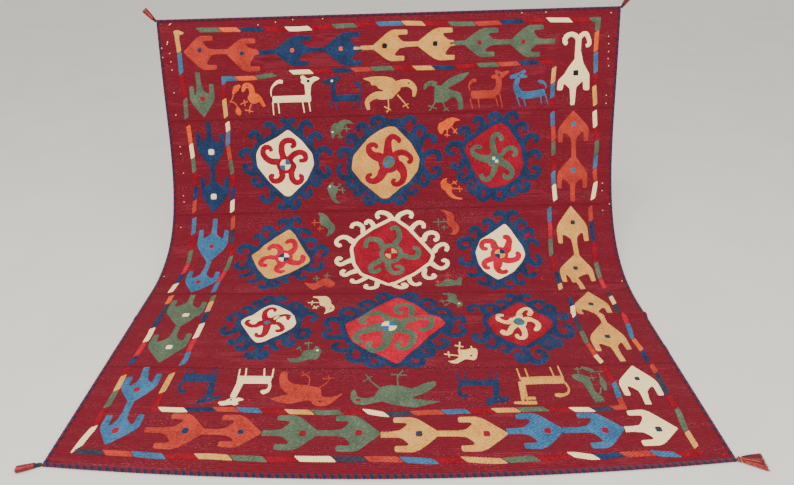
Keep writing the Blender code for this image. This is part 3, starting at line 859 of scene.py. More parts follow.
pinwheel(
    "green",
    (((350, 455, 345, 430, 345, 412, 355, 398, 368, 400, 375, 413, 368, 418), (16, 15, 14, 13, 12, 11, 8)),
     ((375, 468, 388, 452, 405, 443, 420, 450, 423, 465, 412, 469), (15, 15, 14, 13, 12, 9)),
     ((382, 492, 402, 506, 413, 524, 408, 540, 394, 543, 385, 537, 390, 530), (22, 19, 16, 14, 13, 11, 8)),
     ((355, 505, 350, 522, 340, 540, 327, 549, 314, 543, 308, 533, 315, 532), (16, 15, 14, 13, 12, 10, 7)),
     ((333, 480, 305, 474, 285, 462, 278, 447, 287, 437, 300, 437, 309, 441), (22, 18, 15, 13, 12, 11, 8))),
    353, 482, 26)
for x, d, wool in ((350, 477, "cream"), (360, 477, "blue"), (350, 487, "blue"), (360, 487, "cream")):
    work_patch(wool, square_spots(x, d, 10), 1, SPOT_LIFT, FINE_SPACING)

# Small birds between the medallions.
work_patch(
    "green",
    (-196, 396, -203, 370, -196, 350, -186, 342, -177, 344, -169, 337, -155, 332, -138, 335, -121, 348,
     -145, 346, -157, 355, -163, 369, -174, 379, -187, 382, -192, 395), 1)
claw(
    "green", (-163, 362, -135, 364), (-149, 354, -147, 374), (-171, 378, -168, 397), (-178, 389, -160, 391))
bead("cream", -195, 373, 6)
work_patch(
    "green",
    (-196, 540, -210, 549, -218, 561, -213, 574, -209, 585, -202, 602, -187, 615, -170, 615, -184, 606,
     -189, 594, -187, 582, -180, 570, -183, 558, -192, 555, -198, 551), 1)
claw(
    "green", (-187, 567, -155, 572), (-166, 560, -163, 582), (-187, 561, -168, 550), (-178, 546, -172, 559))
bead("cream", -208, 557, 6)
work_patch(
    "orange",
    (166, 388, 159, 370, 163, 355, 180, 348, 189, 340, 207, 336, 225, 340, 237, 347, 219, 349, 213, 355,
     207, 367, 198, 374, 181, 378, 175, 392), 1)
claw("orange", (192, 374, 191, 402), (182, 393, 201, 396), (206, 368, 225, 391), (212, 389, 224, 374))
work_patch(
    "orange",
    (195, 539, 178, 542, 170, 555, 172, 573, 186, 582, 195, 597, 213, 611, 243, 615, 246, 610, 225, 605,
     213, 596, 207, 585, 211, 573, 204, 560, 189, 555, 191, 546), 1)
claw("orange", (208, 560, 228, 550), (212, 550, 225, 562), (209, 575, 245, 579), (233, 567, 236, 588))
knots((-715, 406), (-715, 430), (-711, 496), (-714, 574), (-712, 596), (718, 572), (717, 598))
finish_strip(2)

# ---- Third strip: the middle row of medallions ------------------------------------------------------
# The same border goes on down both sides. The middle medallion is the largest, with a cream ring and
# cream hooks; the two beside it have navy ones.
stripe(
    (-675, 650, -674, 715, -672, 775, -670, 830, -675, 875, -679, 895, -685, 930, -689, 970),
    [("blue", 651), ("madder", 713), ("green", 773), ("rose", 828), ("navy", 877), ("cream", 921),
     (None, 970)], upright=True)
stripe(
    (-541, 650, -540, 700, -538, 752, -533, 800, -536, 850, -541, 870, -549, 905, -553, 930, -554, 972),
    [("rust", 650), ("slate", 698), ("madder", 752), ("green", 800), ("rose", 865), ("blue", 918),
     (None, 970)], upright=True)
stripe(
    (537, 650, 536, 720, 533, 757, 528, 822, 532, 860, 534, 890, 533, 940, 531, 970),
    [("blue", 650), ("rose", 701), ("green", 758), ("madder", 825), ("navy", 886), ("tan", 941),
     (None, 969)], upright=True)
stripe(
    (675, 650, 675, 700, 674, 777, 671, 830, 668, 860, 667, 920, 670, 968),
    [("rust", 650), ("navy", 702), ("madder", 776), ("green", 853), ("rose", 922), (None, 967)],
    upright=True)
dart("blue", (-606, 830), "down", (133, 49), (130, 54), (-602, 658), (-605, 760))
dart("blue", (-622, 970), "down", (105, 38), (102, 67), (-608, 880, -602, 820), (-615, 915))
dart("tan", (610, 646), "up", (133, 53), (127, 50), (612, 825), (613, 705), "slate")
dart(
    "tan", (612, 815), "up", (118, 68), (117, 40), (583, 902, 592, 925, 598, 945, 601, 968), (598, 876),
    "slate")

# Tan medallion with a light red pinwheel.
medallion(
    (-345, 702, -326, 721, -302, 763, -266, 822, -270, 834, -326, 876, -388, 906, -404, 897, -436, 856,
     -465, 800, -443, 783, -428, 762, -381, 725), "tan", "navy", 15,
    ((-350, 695, -353, 674, -365, 667, -383, 673, -380, 686),
     (-345, 692, -339, 671, -324, 661, -308, 668, -311, 682),
     (-400, 730, -403, 704, -420, 690, -436, 698, -433, 709),
     (-430, 754, -436, 730, -450, 718, -462, 724, -459, 733),
     (-459, 777, -468, 768, -489, 760, -511, 765, -512, 783, -497, 789),
     (-468, 827, -471, 845, -497, 858, -512, 848, -511, 833, -502, 830),
     (-447, 851, -453, 877, -471, 889, -486, 890), (-424, 880, -427, 909, -442, 921, -453, 915),
     (-389, 909, -389, 936, -400, 951, -415, 942, -414, 932),
     (-389, 905, -380, 936, -368, 946, -356, 936, -359, 921, -370, 923),
     (-347, 889, -342, 909, -336, 921, -321, 921), (-303, 868, -300, 895, -289, 907, -274, 901, -271, 895),
     (-280, 851, -265, 865, -242, 867, -224, 857, -221, 836, -233, 832),
     (-265, 795, -247, 774, -227, 768, -209, 786, -218, 804, -230, 805),
     (-297, 757, -280, 742, -259, 742, -250, 751, -256, 760),
     (-324, 712, -312, 707, -289, 707, -271, 718, -277, 726)))
NUB_LIFT = 0.0001
for x, d in ((-486, 888), (-452, 913)):
    work_patch("navy", round_spots(x, d, 8, 8), 1, NUB_LIFT)
pinwheel(
    "rose",
    (((-338, 795, -325, 780, -322, 762, -332, 746, -348, 748, -353, 756), (20, 17, 15, 14, 13, 10)),
     ((-326, 832, -305, 834, -292, 824, -291, 812, -300, 806), (18, 16, 15, 14, 10)),
     ((-364, 845, -373, 857, -370, 867, -358, 873, -345, 868), (24, 18, 16, 14, 11)),
     ((-384, 811, -405, 809, -424, 819, -430, 833, -420, 843, -406, 843), (18, 16, 15, 14, 14, 11)),
     ((-367, 787, -374, 773, -388, 765, -403, 767, -411, 780), (20, 17, 15, 14, 12))), -355, 811, 30)
quartered(-355, 811, 18, "navy", "cream")

# Red medallion with a green pinwheel and cream hooks.
medallion(
    (8, 680, 54, 714, 95, 763, 133, 812, 123, 838, 71, 883, -4, 930, -60, 897, -92, 880, -115, 838,
     -125, 780, -108, 749, -60, 714), "red", "cream", 12.5,
    ((1, 672, -11, 657, -28, 650, -46, 650, -53, 660, -45, 672),
     (24, 669, 45, 654, 60, 650, 77, 660, 71, 675), (-58, 699, -67, 684, -78, 678, -87, 684, -87, 693),
     (-93, 722, -96, 699, -117, 685, -134, 690, -139, 703),
     (-131, 752, -145, 740, -161, 734, -181, 740, -190, 755, -178, 769, -170, 766),
     (-134, 828, -152, 837, -170, 846, -184, 831, -178, 816, -164, 822),
     (-120, 875, -134, 881, -152, 893, -164, 881, -161, 871, -151, 875),
     (-81, 902, -93, 913, -117, 925, -128, 922, -128, 909),
     (-43, 928, -46, 946, -67, 955, -84, 949, -81, 934),
     (7, 934, 21, 946, 39, 952, 54, 943, 48, 934, 36, 938), (57, 905, 62, 925, 77, 940, 92, 938, 98, 930),
     (107, 869, 107, 896, 115, 910, 130, 913, 145, 903, 136, 893),
     (133, 846, 148, 860, 166, 869, 189, 855, 189, 837, 180, 832, 173, 840),
     (145, 796, 151, 784, 166, 772, 183, 769, 193, 784, 186, 799),
     (110, 752, 118, 734, 142, 725, 160, 734, 162, 749, 148, 759),
     (71, 710, 80, 699, 101, 688, 115, 696, 115, 712)), (23, 18, 16, 15, 15, 15))
pinwheel(
    "green",
    (((16, 763, 26, 749, 28, 725, 21, 709, 9, 707, -2, 713), (16, 15, 14, 13, 12, 9)),
     ((40, 811, 68, 822, 85, 818, 92, 800, 85, 786, 73, 783), (15, 15, 15, 14, 13, 10)),
     ((-10, 842, -8, 863, 2, 880, 16, 886, 33, 880, 37, 866, 26, 857, 12, 857),
      (16, 15, 14, 13, 13, 12, 10, 8)),
     ((-32, 830, -53, 842, -66, 859, -63, 875, -46, 877, -37, 869, -39, 862), (17, 15, 14, 13, 12, 11, 8)),
     ((-29, 773, -36, 757, -53, 748, -74, 748, -84, 763, -82, 780), (17, 15, 14, 14, 13, 11))), 1, 804, 40)
work_patch("red", round_spots(1, 804, 25.5), 1, INLAID + 0.0002)
quartered(1, 804, 21, "red", "tan")

# Cream medallion with a light red pinwheel.
medallion(
    (385, 702, 403, 725, 439, 790, 443, 820, 430, 845, 396, 887, 342, 921, 299, 880, 286, 850, 280, 805,
     299, 759, 341, 733), "cream", "navy", 16,
    ((388, 693, 382, 670, 367, 659, 352, 666, 355, 674), (394, 687, 397, 668, 411, 660, 429, 668, 429, 677),
     (420, 737, 420, 710, 426, 693, 444, 690, 458, 703, 452, 707),
     (432, 763, 438, 743, 452, 725, 464, 719, 480, 734, 473, 743),
     (447, 793, 452, 772, 473, 760, 492, 775, 486, 787),
     (450, 837, 461, 852, 476, 862, 492, 846, 491, 828, 479, 819),
     (429, 872, 432, 899, 450, 910, 467, 902, 461, 890), (394, 902, 397, 931, 408, 944, 423, 937, 420, 924),
     (352, 925, 361, 952, 370, 957, 386, 952), (341, 928, 335, 952, 323, 960, 311, 952, 311, 944),
     (317, 913, 308, 937, 294, 943, 279, 934, 279, 921), (294, 893, 278, 897, 261, 902, 248, 893, 252, 887),
     (276, 843, 264, 852, 247, 855, 226, 846, 225, 828, 236, 824),
     (276, 778, 270, 757, 252, 752, 226, 760, 223, 778, 238, 790, 250, 784),
     (300, 737, 294, 719, 285, 713, 267, 722, 272, 735),
     (341, 716, 341, 696, 326, 685, 313, 694, 319, 703)))
pinwheel(
    "rose",
    (((385, 797, 391, 780, 395, 764, 388, 752, 375, 753), (22, 18, 16, 15, 12)),
     ((375, 838, 399, 840, 416, 832, 421, 818, 413, 809), (20, 17, 15, 14, 11)),
     ((348, 856, 345, 869, 354, 886, 366, 888, 377, 880), (24, 18, 15, 14, 11)),
     ((327, 835, 311, 842, 304, 856, 310, 868, 322, 868), (18, 16, 15, 14, 11)),
     ((344, 783, 340, 769, 323, 764, 307, 769, 302, 783, 308, 793, 322, 792),
      (20, 17, 15, 14, 14, 13, 10))), 358, 816, 30)
quartered(360, 814, 18, "tan", "navy")

# Small birds between the medallions.
work_patch(
    "green",
    (-250, 646, -232, 648, -215, 660, -205, 680, -192, 690, -188, 703, -195, 718, -210, 730, -222, 733,
     -213, 720, -212, 705, -225, 697, -240, 690, -243, 675, -242, 658), 2)
claw("rust", (-271, 681, -240, 681), (-260, 670, -260, 692), (-250, 703, -228, 703), (-241, 694, -241, 712))
work_patch(
    "rust",
    (-278, 920, -265, 938, -250, 955, -242, 960, -232, 952, -220, 942, -208, 938, -198, 946, -187, 948,
     -178, 938, -178, 925, -190, 912, -200, 903, -215, 905, -228, 912, -235, 922, -250, 927, -265, 925), 2)
claw(
    "green", (-251, 903, -229, 903), (-240, 892, -236, 918), (-216, 891, -194, 891), (-205, 880, -208, 910))
work_patch(
    "rust",
    (165, 648, 185, 650, 205, 658, 216, 672, 213, 688, 225, 697, 232, 710, 228, 728, 215, 738, 196, 735,
     208, 730, 210, 720, 205, 710, 195, 705, 190, 695, 190, 668, 180, 655), 2)
claw(
    "green", (143, 690, 190, 690), (161, 678, 161, 707), (180, 680, 180, 695), (170, 711, 196, 711),
    (180, 702, 180, 720))
work_patch(
    "green",
    (137, 940, 150, 948, 190, 945, 200, 940, 222, 943, 225, 925, 228, 912, 217, 903, 213, 915, 205, 922,
     195, 915, 180, 910, 168, 918, 163, 932, 150, 937), 2)
claw("rust", (172, 897, 194, 897), (183, 886, 183, 912), (139, 926, 165, 926), (149, 916, 149, 936))
work_line("rose", (486, 908, 479, 918, 492, 924), (2, 2), blunt=True)
knots((-720, 685), (-734, 886), (740, 644), (716, 666), (733, 934))
finish_strip(3)

# ---- Fourth strip: the last row of medallions -------------------------------------------------------
# Here the cloth comes down on to the floor. Its two outer medallions hang a forked hook from a short
# bar at their lowest corner.
stripe(
    (-678, 985, -677, 1030, -674, 1085, -676, 1120, -680, 1145, -677, 1170, -677, 1205, -680, 1250,
     -683, 1300),
    [("orange", 985), ("slate", 1030), ("navy", 1085), ("cream", 1145), ("rose", 1208), ("navy", 1266),
     (None, 1300)], upright=True)
stripe(
    (-547, 985, -546, 1040, -545, 1070, -543, 1110, -544, 1180, -547, 1215, -546, 1245, -543, 1270,
     -548, 1300),
    [("green", 985), ("tan", 1015), ("navy", 1069), ("cream", 1123), ("rose", 1190), ("blue", 1246),
     (None, 1299)], upright=True)
stripe(
    (547, 985, 546, 1030, 547, 1044, 541, 1075, 534, 1100, 537, 1115, 538, 1160, 539, 1220, 543, 1245,
     546, 1268, 551, 1285, 556, 1300),
    [("madder", 985), ("navy", 1004), ("cream", 1048), ("slate", 1107), ("green", 1169), ("rust", 1220),
     ("straw", 1268), (None, 1300)], upright=True)
stripe(
    (675, 985, 676, 1040, 672, 1075, 670, 1094, 681, 1101, 682, 1120, 680, 1140, 677, 1170, 671, 1200,
     673, 1215, 677, 1255, 678, 1300),
    [("slate", 985), ("straw", 1004), ("slate", 1044), ("rose", 1099), ("blue", 1138), ("orange", 1206),
     ("navy", 1258), (None, 1301)], upright=True)
dart(
    "green", (-607, 1145), "down", (133, 60), (125, 50), (-610, 1050, -612, 983), (-603, 1087), "cream", 19)
dart(
    "green", (-610, 1291), "down", (115, 55), (121, 52), (-609, 1200, -609, 1137), (-604, 1229), "cream",
    17)
dart(
    "tan", (613, 980), "up", (119, 63), (111, 43), (606, 1075, 607, 1096, 615, 1108, 616, 1135),
    (604, 1042), "slate")
dart("tan", (618, 1122), "up", (133, 65), (130, 35), (608, 1250, 613, 1297), (604, 1195), "slate")

# Cream medallion with a red pinwheel.
medallion(
    (-357, 1034, -336, 1043, -298, 1069, -284, 1090, -272, 1123, -279, 1142, -312, 1174, -353, 1205,
     -369, 1208, -384, 1194, -403, 1166, -430, 1127, -435, 1112, -409, 1091, -384, 1055, -370, 1040),
    "cream", "navy", 17,
    ((-358, 1028, -361, 1001, -376, 990, -390, 998, -387, 1013),
     (-352, 1028, -346, 998, -335, 990, -321, 1001, -329, 1016),
     (-393, 1048, -393, 1022, -402, 1013, -415, 1020, -415, 1034),
     (-411, 1078, -417, 1051, -432, 1044, -443, 1048, -442, 1059),
     (-432, 1101, -440, 1084, -458, 1076, -474, 1090, -476, 1104, -464, 1112),
     (-435, 1145, -452, 1166, -467, 1172, -482, 1157, -482, 1145, -471, 1141),
     (-411, 1178, -426, 1207, -440, 1212, -449, 1201, -443, 1192),
     (-393, 1198, -393, 1225, -405, 1240, -420, 1234, -418, 1222), (-357, 1210, -357, 1262),
     (-361, 1248, -373, 1269, -387, 1260, -385, 1245),
     (-352, 1255, -346, 1269, -332, 1257, -333, 1245, -343, 1244),
     (-329, 1190, -320, 1228, -311, 1238, -302, 1231),
     (-296, 1175, -290, 1210, -279, 1222, -264, 1210, -276, 1200),
     (-267, 1151, -261, 1181, -246, 1192, -229, 1178, -229, 1157, -240, 1148, -249, 1154),
     (-267, 1101, -258, 1084, -237, 1073, -217, 1084, -214, 1101, -229, 1113),
     (-302, 1054, -299, 1031, -287, 1023, -270, 1034, -273, 1051, -285, 1051),
     (-276, 1072, -267, 1054, -255, 1048, -249, 1060, -255, 1072)))
work_line("navy", (-357, 1212, -357, 1262), (20, 20), blunt=True)
pinwheel(
    "red",
    (((-365, 1104, -371, 1087, -371, 1067, -362, 1055, -352, 1054, -344, 1061, -346, 1070),
      (15, 14, 13, 12, 11, 10, 8)),
     ((-343, 1110, -331, 1098, -322, 1091, -310, 1088, -300, 1092, -298, 1103, -302, 1108),
      (18, 14, 13, 13, 14, 12, 9)),
     ((-336, 1122, -324, 1125, -315, 1134, -309, 1144, -310, 1154, -319, 1158, -327, 1156),
      (15, 12, 12, 12, 13, 11, 9)),
     ((-354, 1139, -354, 1156, -355, 1170, -361, 1179, -371, 1180, -378, 1174, -378, 1166),
      (18, 16, 15, 13, 11, 9, 8)),
     ((-374, 1122, -384, 1134, -398, 1136, -410, 1129, -416, 1120, -414, 1113, -407, 1112),
      (18, 14, 12, 12, 11, 9, 8))), -357, 1120, 20)
work_patch("blue", round_spots(-357, 1120, 9.5, 8), 1, SPOT_LIFT, FINE_SPACING)
claw("green", (-322, 1108, -304, 1110), width=3)

# Light red medallion with a green pinwheel.
medallion(
    (18, 1002, 34, 1006, 76, 1036, 108, 1078, 122, 1095, 150, 1108, 158, 1127, 146, 1140, 104, 1185,
     70, 1232, 40, 1264, 21, 1289, 13, 1289, -22, 1263, -66, 1237, -108, 1200, -119, 1172, -131, 1132,
     -122, 1119, -84, 1097, -60, 1062, -18, 1026), "rose", "navy", 17,
    ((-3, 997, -12, 984, -26, 980, -39, 987, -45, 1001, -38, 1010, -28, 1007),
     (43, 994, 50, 984, 64, 980, 78, 986, 84, 997, 75, 1003, 65, 999),
     (-50, 1041, -58, 1023, -74, 1016, -93, 1025, -97, 1040, -87, 1047, -79, 1038),
     (-91, 1096, -98, 1073, -108, 1056, -125, 1048, -143, 1052, -153, 1070, -148, 1089, -133, 1095,
      -129, 1082), (-138, 1114, -158, 1106, -177, 1105, -190, 1112, -193, 1126, -188, 1136, -178, 1133),
     (-128, 1180, -157, 1184, -183, 1183, -193, 1173, -189, 1157, -180, 1149, -170, 1150),
     (-98, 1223, -112, 1235, -132, 1241, -152, 1237, -162, 1222, -156, 1211, -143, 1211),
     (-67, 1246, -72, 1268, -81, 1280, -101, 1281, -116, 1272, -118, 1257, -108, 1251),
     (-18, 1273, -22, 1288, -36, 1298, -56, 1298, -68, 1289, -67, 1278, -56, 1274),
     (40, 1273, 44, 1288, 57, 1298, 77, 1299, 90, 1286, 84, 1270, 71, 1264, 65, 1271),
     (71, 1239, 85, 1259, 102, 1264, 117, 1256, 118, 1243, 107, 1238, 101, 1246),
     (102, 1208, 116, 1228, 133, 1233, 153, 1226, 162, 1211, 156, 1198, 145, 1196, 142, 1205),
     (150, 1156, 164, 1173, 184, 1184, 204, 1177, 214, 1163, 212, 1147, 203, 1138, 195, 1143),
     (170, 1098, 168, 1163), (178, 1105, 201, 1100, 213, 1108, 214, 1121, 205, 1127),
     (119, 1080, 130, 1063, 147, 1053, 167, 1057, 179, 1070, 176, 1086, 161, 1091, 150, 1083),
     (82, 1039, 91, 1022, 105, 1011, 125, 1012, 138, 1027, 132, 1039, 119, 1039)))
pinwheel(
    "green",
    (((57, 1100, 60, 1083, 63, 1062, 60, 1045, 48, 1039, 32, 1039, 18, 1046, 15, 1062, 20, 1076, 30, 1078,
       34, 1071), (13, 14, 16, 14, 12, 12, 13, 14, 13, 11, 8)),
     ((42, 1122, 64, 1111, 85, 1103, 106, 1103, 117, 1109, 118, 1125, 112, 1142, 100, 1153, 88, 1155,
       85, 1146), (9, 12, 12, 12, 14, 14, 14, 13, 13, 10)),
     ((37, 1156, 50, 1163, 62, 1174, 63, 1191, 57, 1211, 47, 1228, 33, 1235, 22, 1231, 18, 1218, 21, 1208,
       31, 1205), (22, 18, 16, 16, 15, 14, 13, 13, 12, 10, 8)),
     ((-8, 1174, -10, 1191, -13, 1211, -22, 1228, -36, 1238, -53, 1238, -62, 1225, -60, 1212, -50, 1208),
      (26, 22, 18, 18, 16, 14, 13, 12, 9)),
     ((-36, 1142, -54, 1149, -74, 1158, -91, 1170, -99, 1184, -95, 1197, -84, 1203, -76, 1200),
      (28, 24, 20, 16, 14, 13, 12, 9)),
     ((-12, 1104, -19, 1091, -36, 1078, -53, 1076, -67, 1086, -80, 1104, -85, 1116, -79, 1123, -70, 1120),
      (18, 18, 18, 18, 16, 15, 14, 13, 10))), 11, 1136, 33)
quartered(-5, 1137, 23, "cream", "blue")

# Red medallion with a cream pinwheel.
medallion(
    (383, 1029, 397, 1033, 428, 1073, 440, 1098, 462, 1112, 468, 1125, 458, 1147, 426, 1184, 385, 1213,
     366, 1227, 359, 1227, 322, 1204, 292, 1172, 280, 1125, 283, 1110, 302, 1098, 344, 1062), "red", "navy",
    16,
    ((382, 1019, 376, 994, 367, 988, 356, 995, 360, 1007),
     (394, 1019, 400, 997, 412, 989, 428, 998, 423, 1007),
     (353, 1048, 350, 1028, 337, 1016, 323, 1025, 325, 1035),
     (312, 1078, 317, 1051, 306, 1035, 288, 1038, 285, 1048),
     (282, 1078, 270, 1048, 253, 1041, 232, 1045, 229, 1063, 244, 1069),
     (270, 1175, 265, 1198, 247, 1209, 229, 1192, 232, 1178, 247, 1178),
     (300, 1192, 297, 1219, 282, 1234, 263, 1231, 266, 1219), (323, 1216, 323, 1242, 312, 1254, 297, 1247),
     (358, 1275, 350, 1288, 335, 1275, 336, 1260, 350, 1262),
     (375, 1285, 388, 1290, 412, 1281, 417, 1260, 406, 1245, 394, 1254),
     (415, 1210, 420, 1234, 432, 1245, 441, 1234),
     (441, 1198, 444, 1225, 456, 1234, 469, 1222, 462, 1207, 453, 1213),
     (462, 1163, 467, 1184, 485, 1194, 509, 1187, 517, 1163, 512, 1142, 494, 1148),
     (470, 1110, 482, 1092, 497, 1084, 517, 1095, 509, 1113, 495, 1107),
     (447, 1090, 458, 1068, 470, 1048, 482, 1042, 491, 1057, 479, 1078, 467, 1081),
     (415, 1042, 432, 1028, 450, 1020, 466, 1028, 459, 1042)))
work_line("navy", (363, 1236, 370, 1285), (22, 22), blunt=True)
pinwheel(
    "straw",
    (((375, 1100, 377, 1087, 385, 1074, 398, 1063, 408, 1061, 413, 1070, 412, 1084, 408, 1095, 398, 1098),
      (15, 12, 11, 10, 11, 11, 12, 12, 8)),
     ((392, 1115, 410, 1117, 420, 1127, 423, 1139, 418, 1152, 411, 1159, 406, 1158),
      (15, 12, 12, 12, 12, 12, 10)),
     ((375, 1150, 377, 1170, 375, 1185, 368, 1195, 358, 1195, 352, 1187, 355, 1179),
      (15, 12, 12, 11, 10, 9, 8)),
     ((350, 1145, 341, 1158, 334, 1170, 323, 1175, 316, 1170, 320, 1160), (15, 13, 13, 14, 14, 10)),
     ((354, 1118, 337, 1126, 323, 1120, 312, 1111, 310, 1103, 320, 1098, 329, 1101),
      (18, 14, 12, 11, 9, 8, 6))), 369, 1126, 24)
quartered(370, 1124, 17, "blue", "green")

# Small birds between the medallions.
work_patch(
    "straw",
    (-240, 992, -222, 991, -200, 991, -189, 1001, -182, 1018, -180, 1032, -173, 1037, -168, 1051,
     -171, 1063, -198, 1080, -193, 1065, -195, 1052, -198, 1044, -214, 1037, -216, 1022, -221, 1008,
     -226, 1001, -240, 998), 1)
claw(
    "straw", (-252, 1023, -214, 1023), (-239, 1014, -239, 1036), (-234, 1053, -217, 1041),
    (-232, 1040, -221, 1055), width=3.4)
bead("slate", -180, 1052, 6)
work_patch(
    "green",
    (-201, 1221, -194, 1229, -187, 1241, -189, 1256, -193, 1270, -199, 1275, -215, 1272, -226, 1277,
     -240, 1284, -260, 1285, -270, 1279, -277, 1268, -266, 1270, -253, 1269, -244, 1265, -238, 1258,
     -239, 1249, -234, 1241, -222, 1239, -212, 1238, -207, 1232, -207, 1223), 1)
claw(
    "green", (-227, 1203, -222, 1240), (-238, 1210, -215, 1208), (-235, 1215, -226, 1205),
    (-251, 1222, -240, 1243), (-257, 1234, -246, 1223), width=3.2)
bead("cream", -198, 1240, 7)
work_patch(
    "green",
    (159, 980, 181, 979, 198, 985, 203, 994, 200, 1014, 212, 1021, 218, 1032, 214, 1045, 203, 1052,
     197, 1050, 201, 1044, 196, 1035, 188, 1028, 176, 1025, 171, 1015, 176, 1001, 174, 990, 159, 985), 1)
claw(
    "green", (147, 1020, 174, 1016), (154, 1010, 159, 1030), (160, 1041, 177, 1029), (165, 1032, 171, 1042),
    width=3)
bead("cream", 206, 1033, 6)
work_patch(
    "straw",
    (181, 1239, 202, 1241, 212, 1237, 223, 1234, 231, 1236, 234, 1243, 233, 1256, 228, 1273, 221, 1280,
     209, 1277, 200, 1274, 188, 1282, 175, 1292, 161, 1291, 150, 1282, 160, 1282, 171, 1278, 180, 1270,
     183, 1259), 1)
claw(
    "straw", (190, 1208, 185, 1242), (175, 1221, 198, 1228), (219, 1226, 220, 1240), (143, 1256, 184, 1263),
    (155, 1247, 156, 1268), width=4)
bead("slate", 215, 1263, 6)
claw("rose", (222, 1077, 219, 1093), width=1.6)
finish_strip(4)

# ---- Fifth strip: animals and the bottom border -----------------------------------------------------
# The animals at this end stand the other way up, with their feet towards the middle, so that the cloth
# reads from both ends.
stripe(
    (-685, 1305, -685, 1330, -682, 1345, -681, 1390, -680, 1450, -684, 1460, -684, 1515),
    [("madder", 1309), ("tan", 1339), ("green", 1395), ("madder", 1450), (None, 1510)], upright=True)
work_patch(
    "cream",
    (-690, 1512, -677, 1504, -677, 1519, -681, 1536, -685, 1562, -693, 1571, -700, 1585, -703, 1582,
     -699, 1550, -695, 1532), 0)
stripe(
    (-563, 1305, -562, 1330, -564, 1378, -565, 1400, -564, 1450),
    [("madder", 1309), ("tan", 1327), ("madder", 1398), (None, 1448)], upright=True)
stripe(
    (682, 1305, 682, 1345, 680, 1415, 680, 1460, 683, 1466, 675, 1532, 677, 1580),
    [("rust", 1310), ("slate", 1343), ("madder", 1419), ("green", 1464), ("tan", 1533), (None, 1580)],
    upright=True)
stripe(
    (557, 1305, 558, 1360, 562, 1375, 558, 1423, 557, 1460),
    [("madder", 1311), ("blue", 1371), ("rust", 1423), (None, 1452)], upright=True)
work_patch("red", (-572, 1440, -556, 1436, -556, 1442, -546, 1457, -571, 1457), 1)
work_patch("rust", (536, 1446, 552, 1445, 565, 1438, 565, 1460, 543, 1460), 1)
stripe(
    (-560, 1450, -500, 1450, -430, 1445, -330, 1446, -240, 1450, -150, 1452, -60, 1447, -10, 1459, 25, 1457,
     90, 1452, 200, 1451, 300, 1450, 376, 1449, 420, 1455, 500, 1456, 560, 1453),
    [("cream", -553), ("navy", -487), ("rust", -421), ("blue", -364), ("madder", -308), ("tan", -248),
     ("green", -185), ("madder", -116), ("cream", -62), ("slate", -8), ("rust", 51), ("blue", 124),
     ("madder", 186), ("tan", 244), ("green", 305), ("madder", 374), ("cream", 430), ("slate", 482),
     ("rust", 529), (None, 546)])
stripe(
    (-698, 1580, -633, 1577, -560, 1578, -490, 1580, -400, 1576, -340, 1577, -270, 1580, -205, 1577,
     -40, 1577, 25, 1578, 90, 1584, 135, 1581, 165, 1580, 208, 1585, 245, 1588, 260, 1585, 317, 1583,
     360, 1584, 393, 1577, 440, 1587, 500, 1585, 570, 1585, 600, 1590, 630, 1594, 690, 1591),
    [("slate", -694), ("rust", -631), ("blue", -566), ("madder", -492), ("tan", -425), ("green", -347),
     ("madder", -270), ("cream", -205), ("slate", -122), ("rust", -53), ("blue", 24), ("madder", 101),
     ("tan", 157), ("green", 248), ("madder", 320), ("cream", 392), ("navy", 450), ("rust", 506),
     ("blue", 575), ("madder", 629), (None, 682)])
dart("blue", (-630, 1437), "down", (92, 43), (105, 45), (-630, 1355, -636, 1308), (-631, 1388))
dart("blue", (-636, 1558), "down", (85, 34), (91, 57), (-628, 1490, -630, 1425), (-630, 1517))
dart("cream", (630, 1313), "up", (104, 57), (108, 42), (623, 1400, 621, 1448), (625, 1362), "slate", 13)
dart("rust", (-420, 1511), "right", (95, 51), (107, 51), (-563, 1511), (-470, 1510), "navy")
dart("rust", (-292, 1511), "right", (102, 50), (92, 41), (-432, 1511), (-342, 1510), "navy", 13)
dart("green", (-160, 1510), "right", (104, 50), (99, 47), (-292, 1511), (-200, 1511))
dart("green", (-20, 1511), "right", (107, 51), (101, 48), (-167, 1510), (-72, 1510))
dart("tan", (116, 1513), "right", (109, 47), (106, 48), (-22, 1514), (65, 1513), "slate")
dart("tan", (269, 1517), "right", (111, 50), (111, 45), (108, 1513), (219, 1516))
dart("blue", (400, 1513), "right", (106, 52), (102, 47), (265, 1511), (359, 1513))
dart("blue", (538, 1516), "right", (100, 51), (92, 50), (395, 1513), (491, 1518))
dart("cream", (660, 1524), "right", (100, 61), (98, 43), (537, 1518), (614, 1523), "slate")

figure(
    "navy", ((-528, 1344, -445, 1344), (29, 29)), ((-450, 1350, -446, 1408), (18, 17)),
    ((-527, 1357, -528, 1375, -524, 1386, -515, 1391, -509, 1386), (9, 7, 8, 12, 14)))
work_patch(
    "navy",
    (-472, 1432, -467, 1416, -457, 1409, -440, 1407, -431, 1405, -424, 1400, -415, 1401, -417, 1409,
     -426, 1414, -435, 1420, -446, 1423, -457, 1426, -465, 1431), 0)
claw(
    "navy", (-526, 1345, -524, 1311), (-510, 1345, -508, 1314), (-460, 1345, -459, 1308),
    (-446, 1345, -446, 1314), width=4.2)
bead("red", -445, 1412)
figure(
    "cream", ((-389, 1347, -302, 1348), (28, 29)), ((-379, 1355, -386, 1408), (19, 17)),
    ((-305, 1357, -302, 1374, -306, 1385, -314, 1389, -320, 1385), (8, 8, 12, 16, 10)))
work_patch(
    "cream",
    (-418, 1425, -414, 1421, -402, 1419, -393, 1412, -386, 1408, -378, 1410, -371, 1408, -358, 1412,
     -358, 1416, -371, 1420, -367, 1428, -374, 1433, -385, 1430, -402, 1433, -410, 1433), 0)
claw(
    "cream", (-388, 1342, -391, 1310), (-370, 1340, -375, 1307), (-322, 1340, -328, 1307),
    (-302, 1340, -304, 1308), width=4)
bead("slate", -388, 1416)
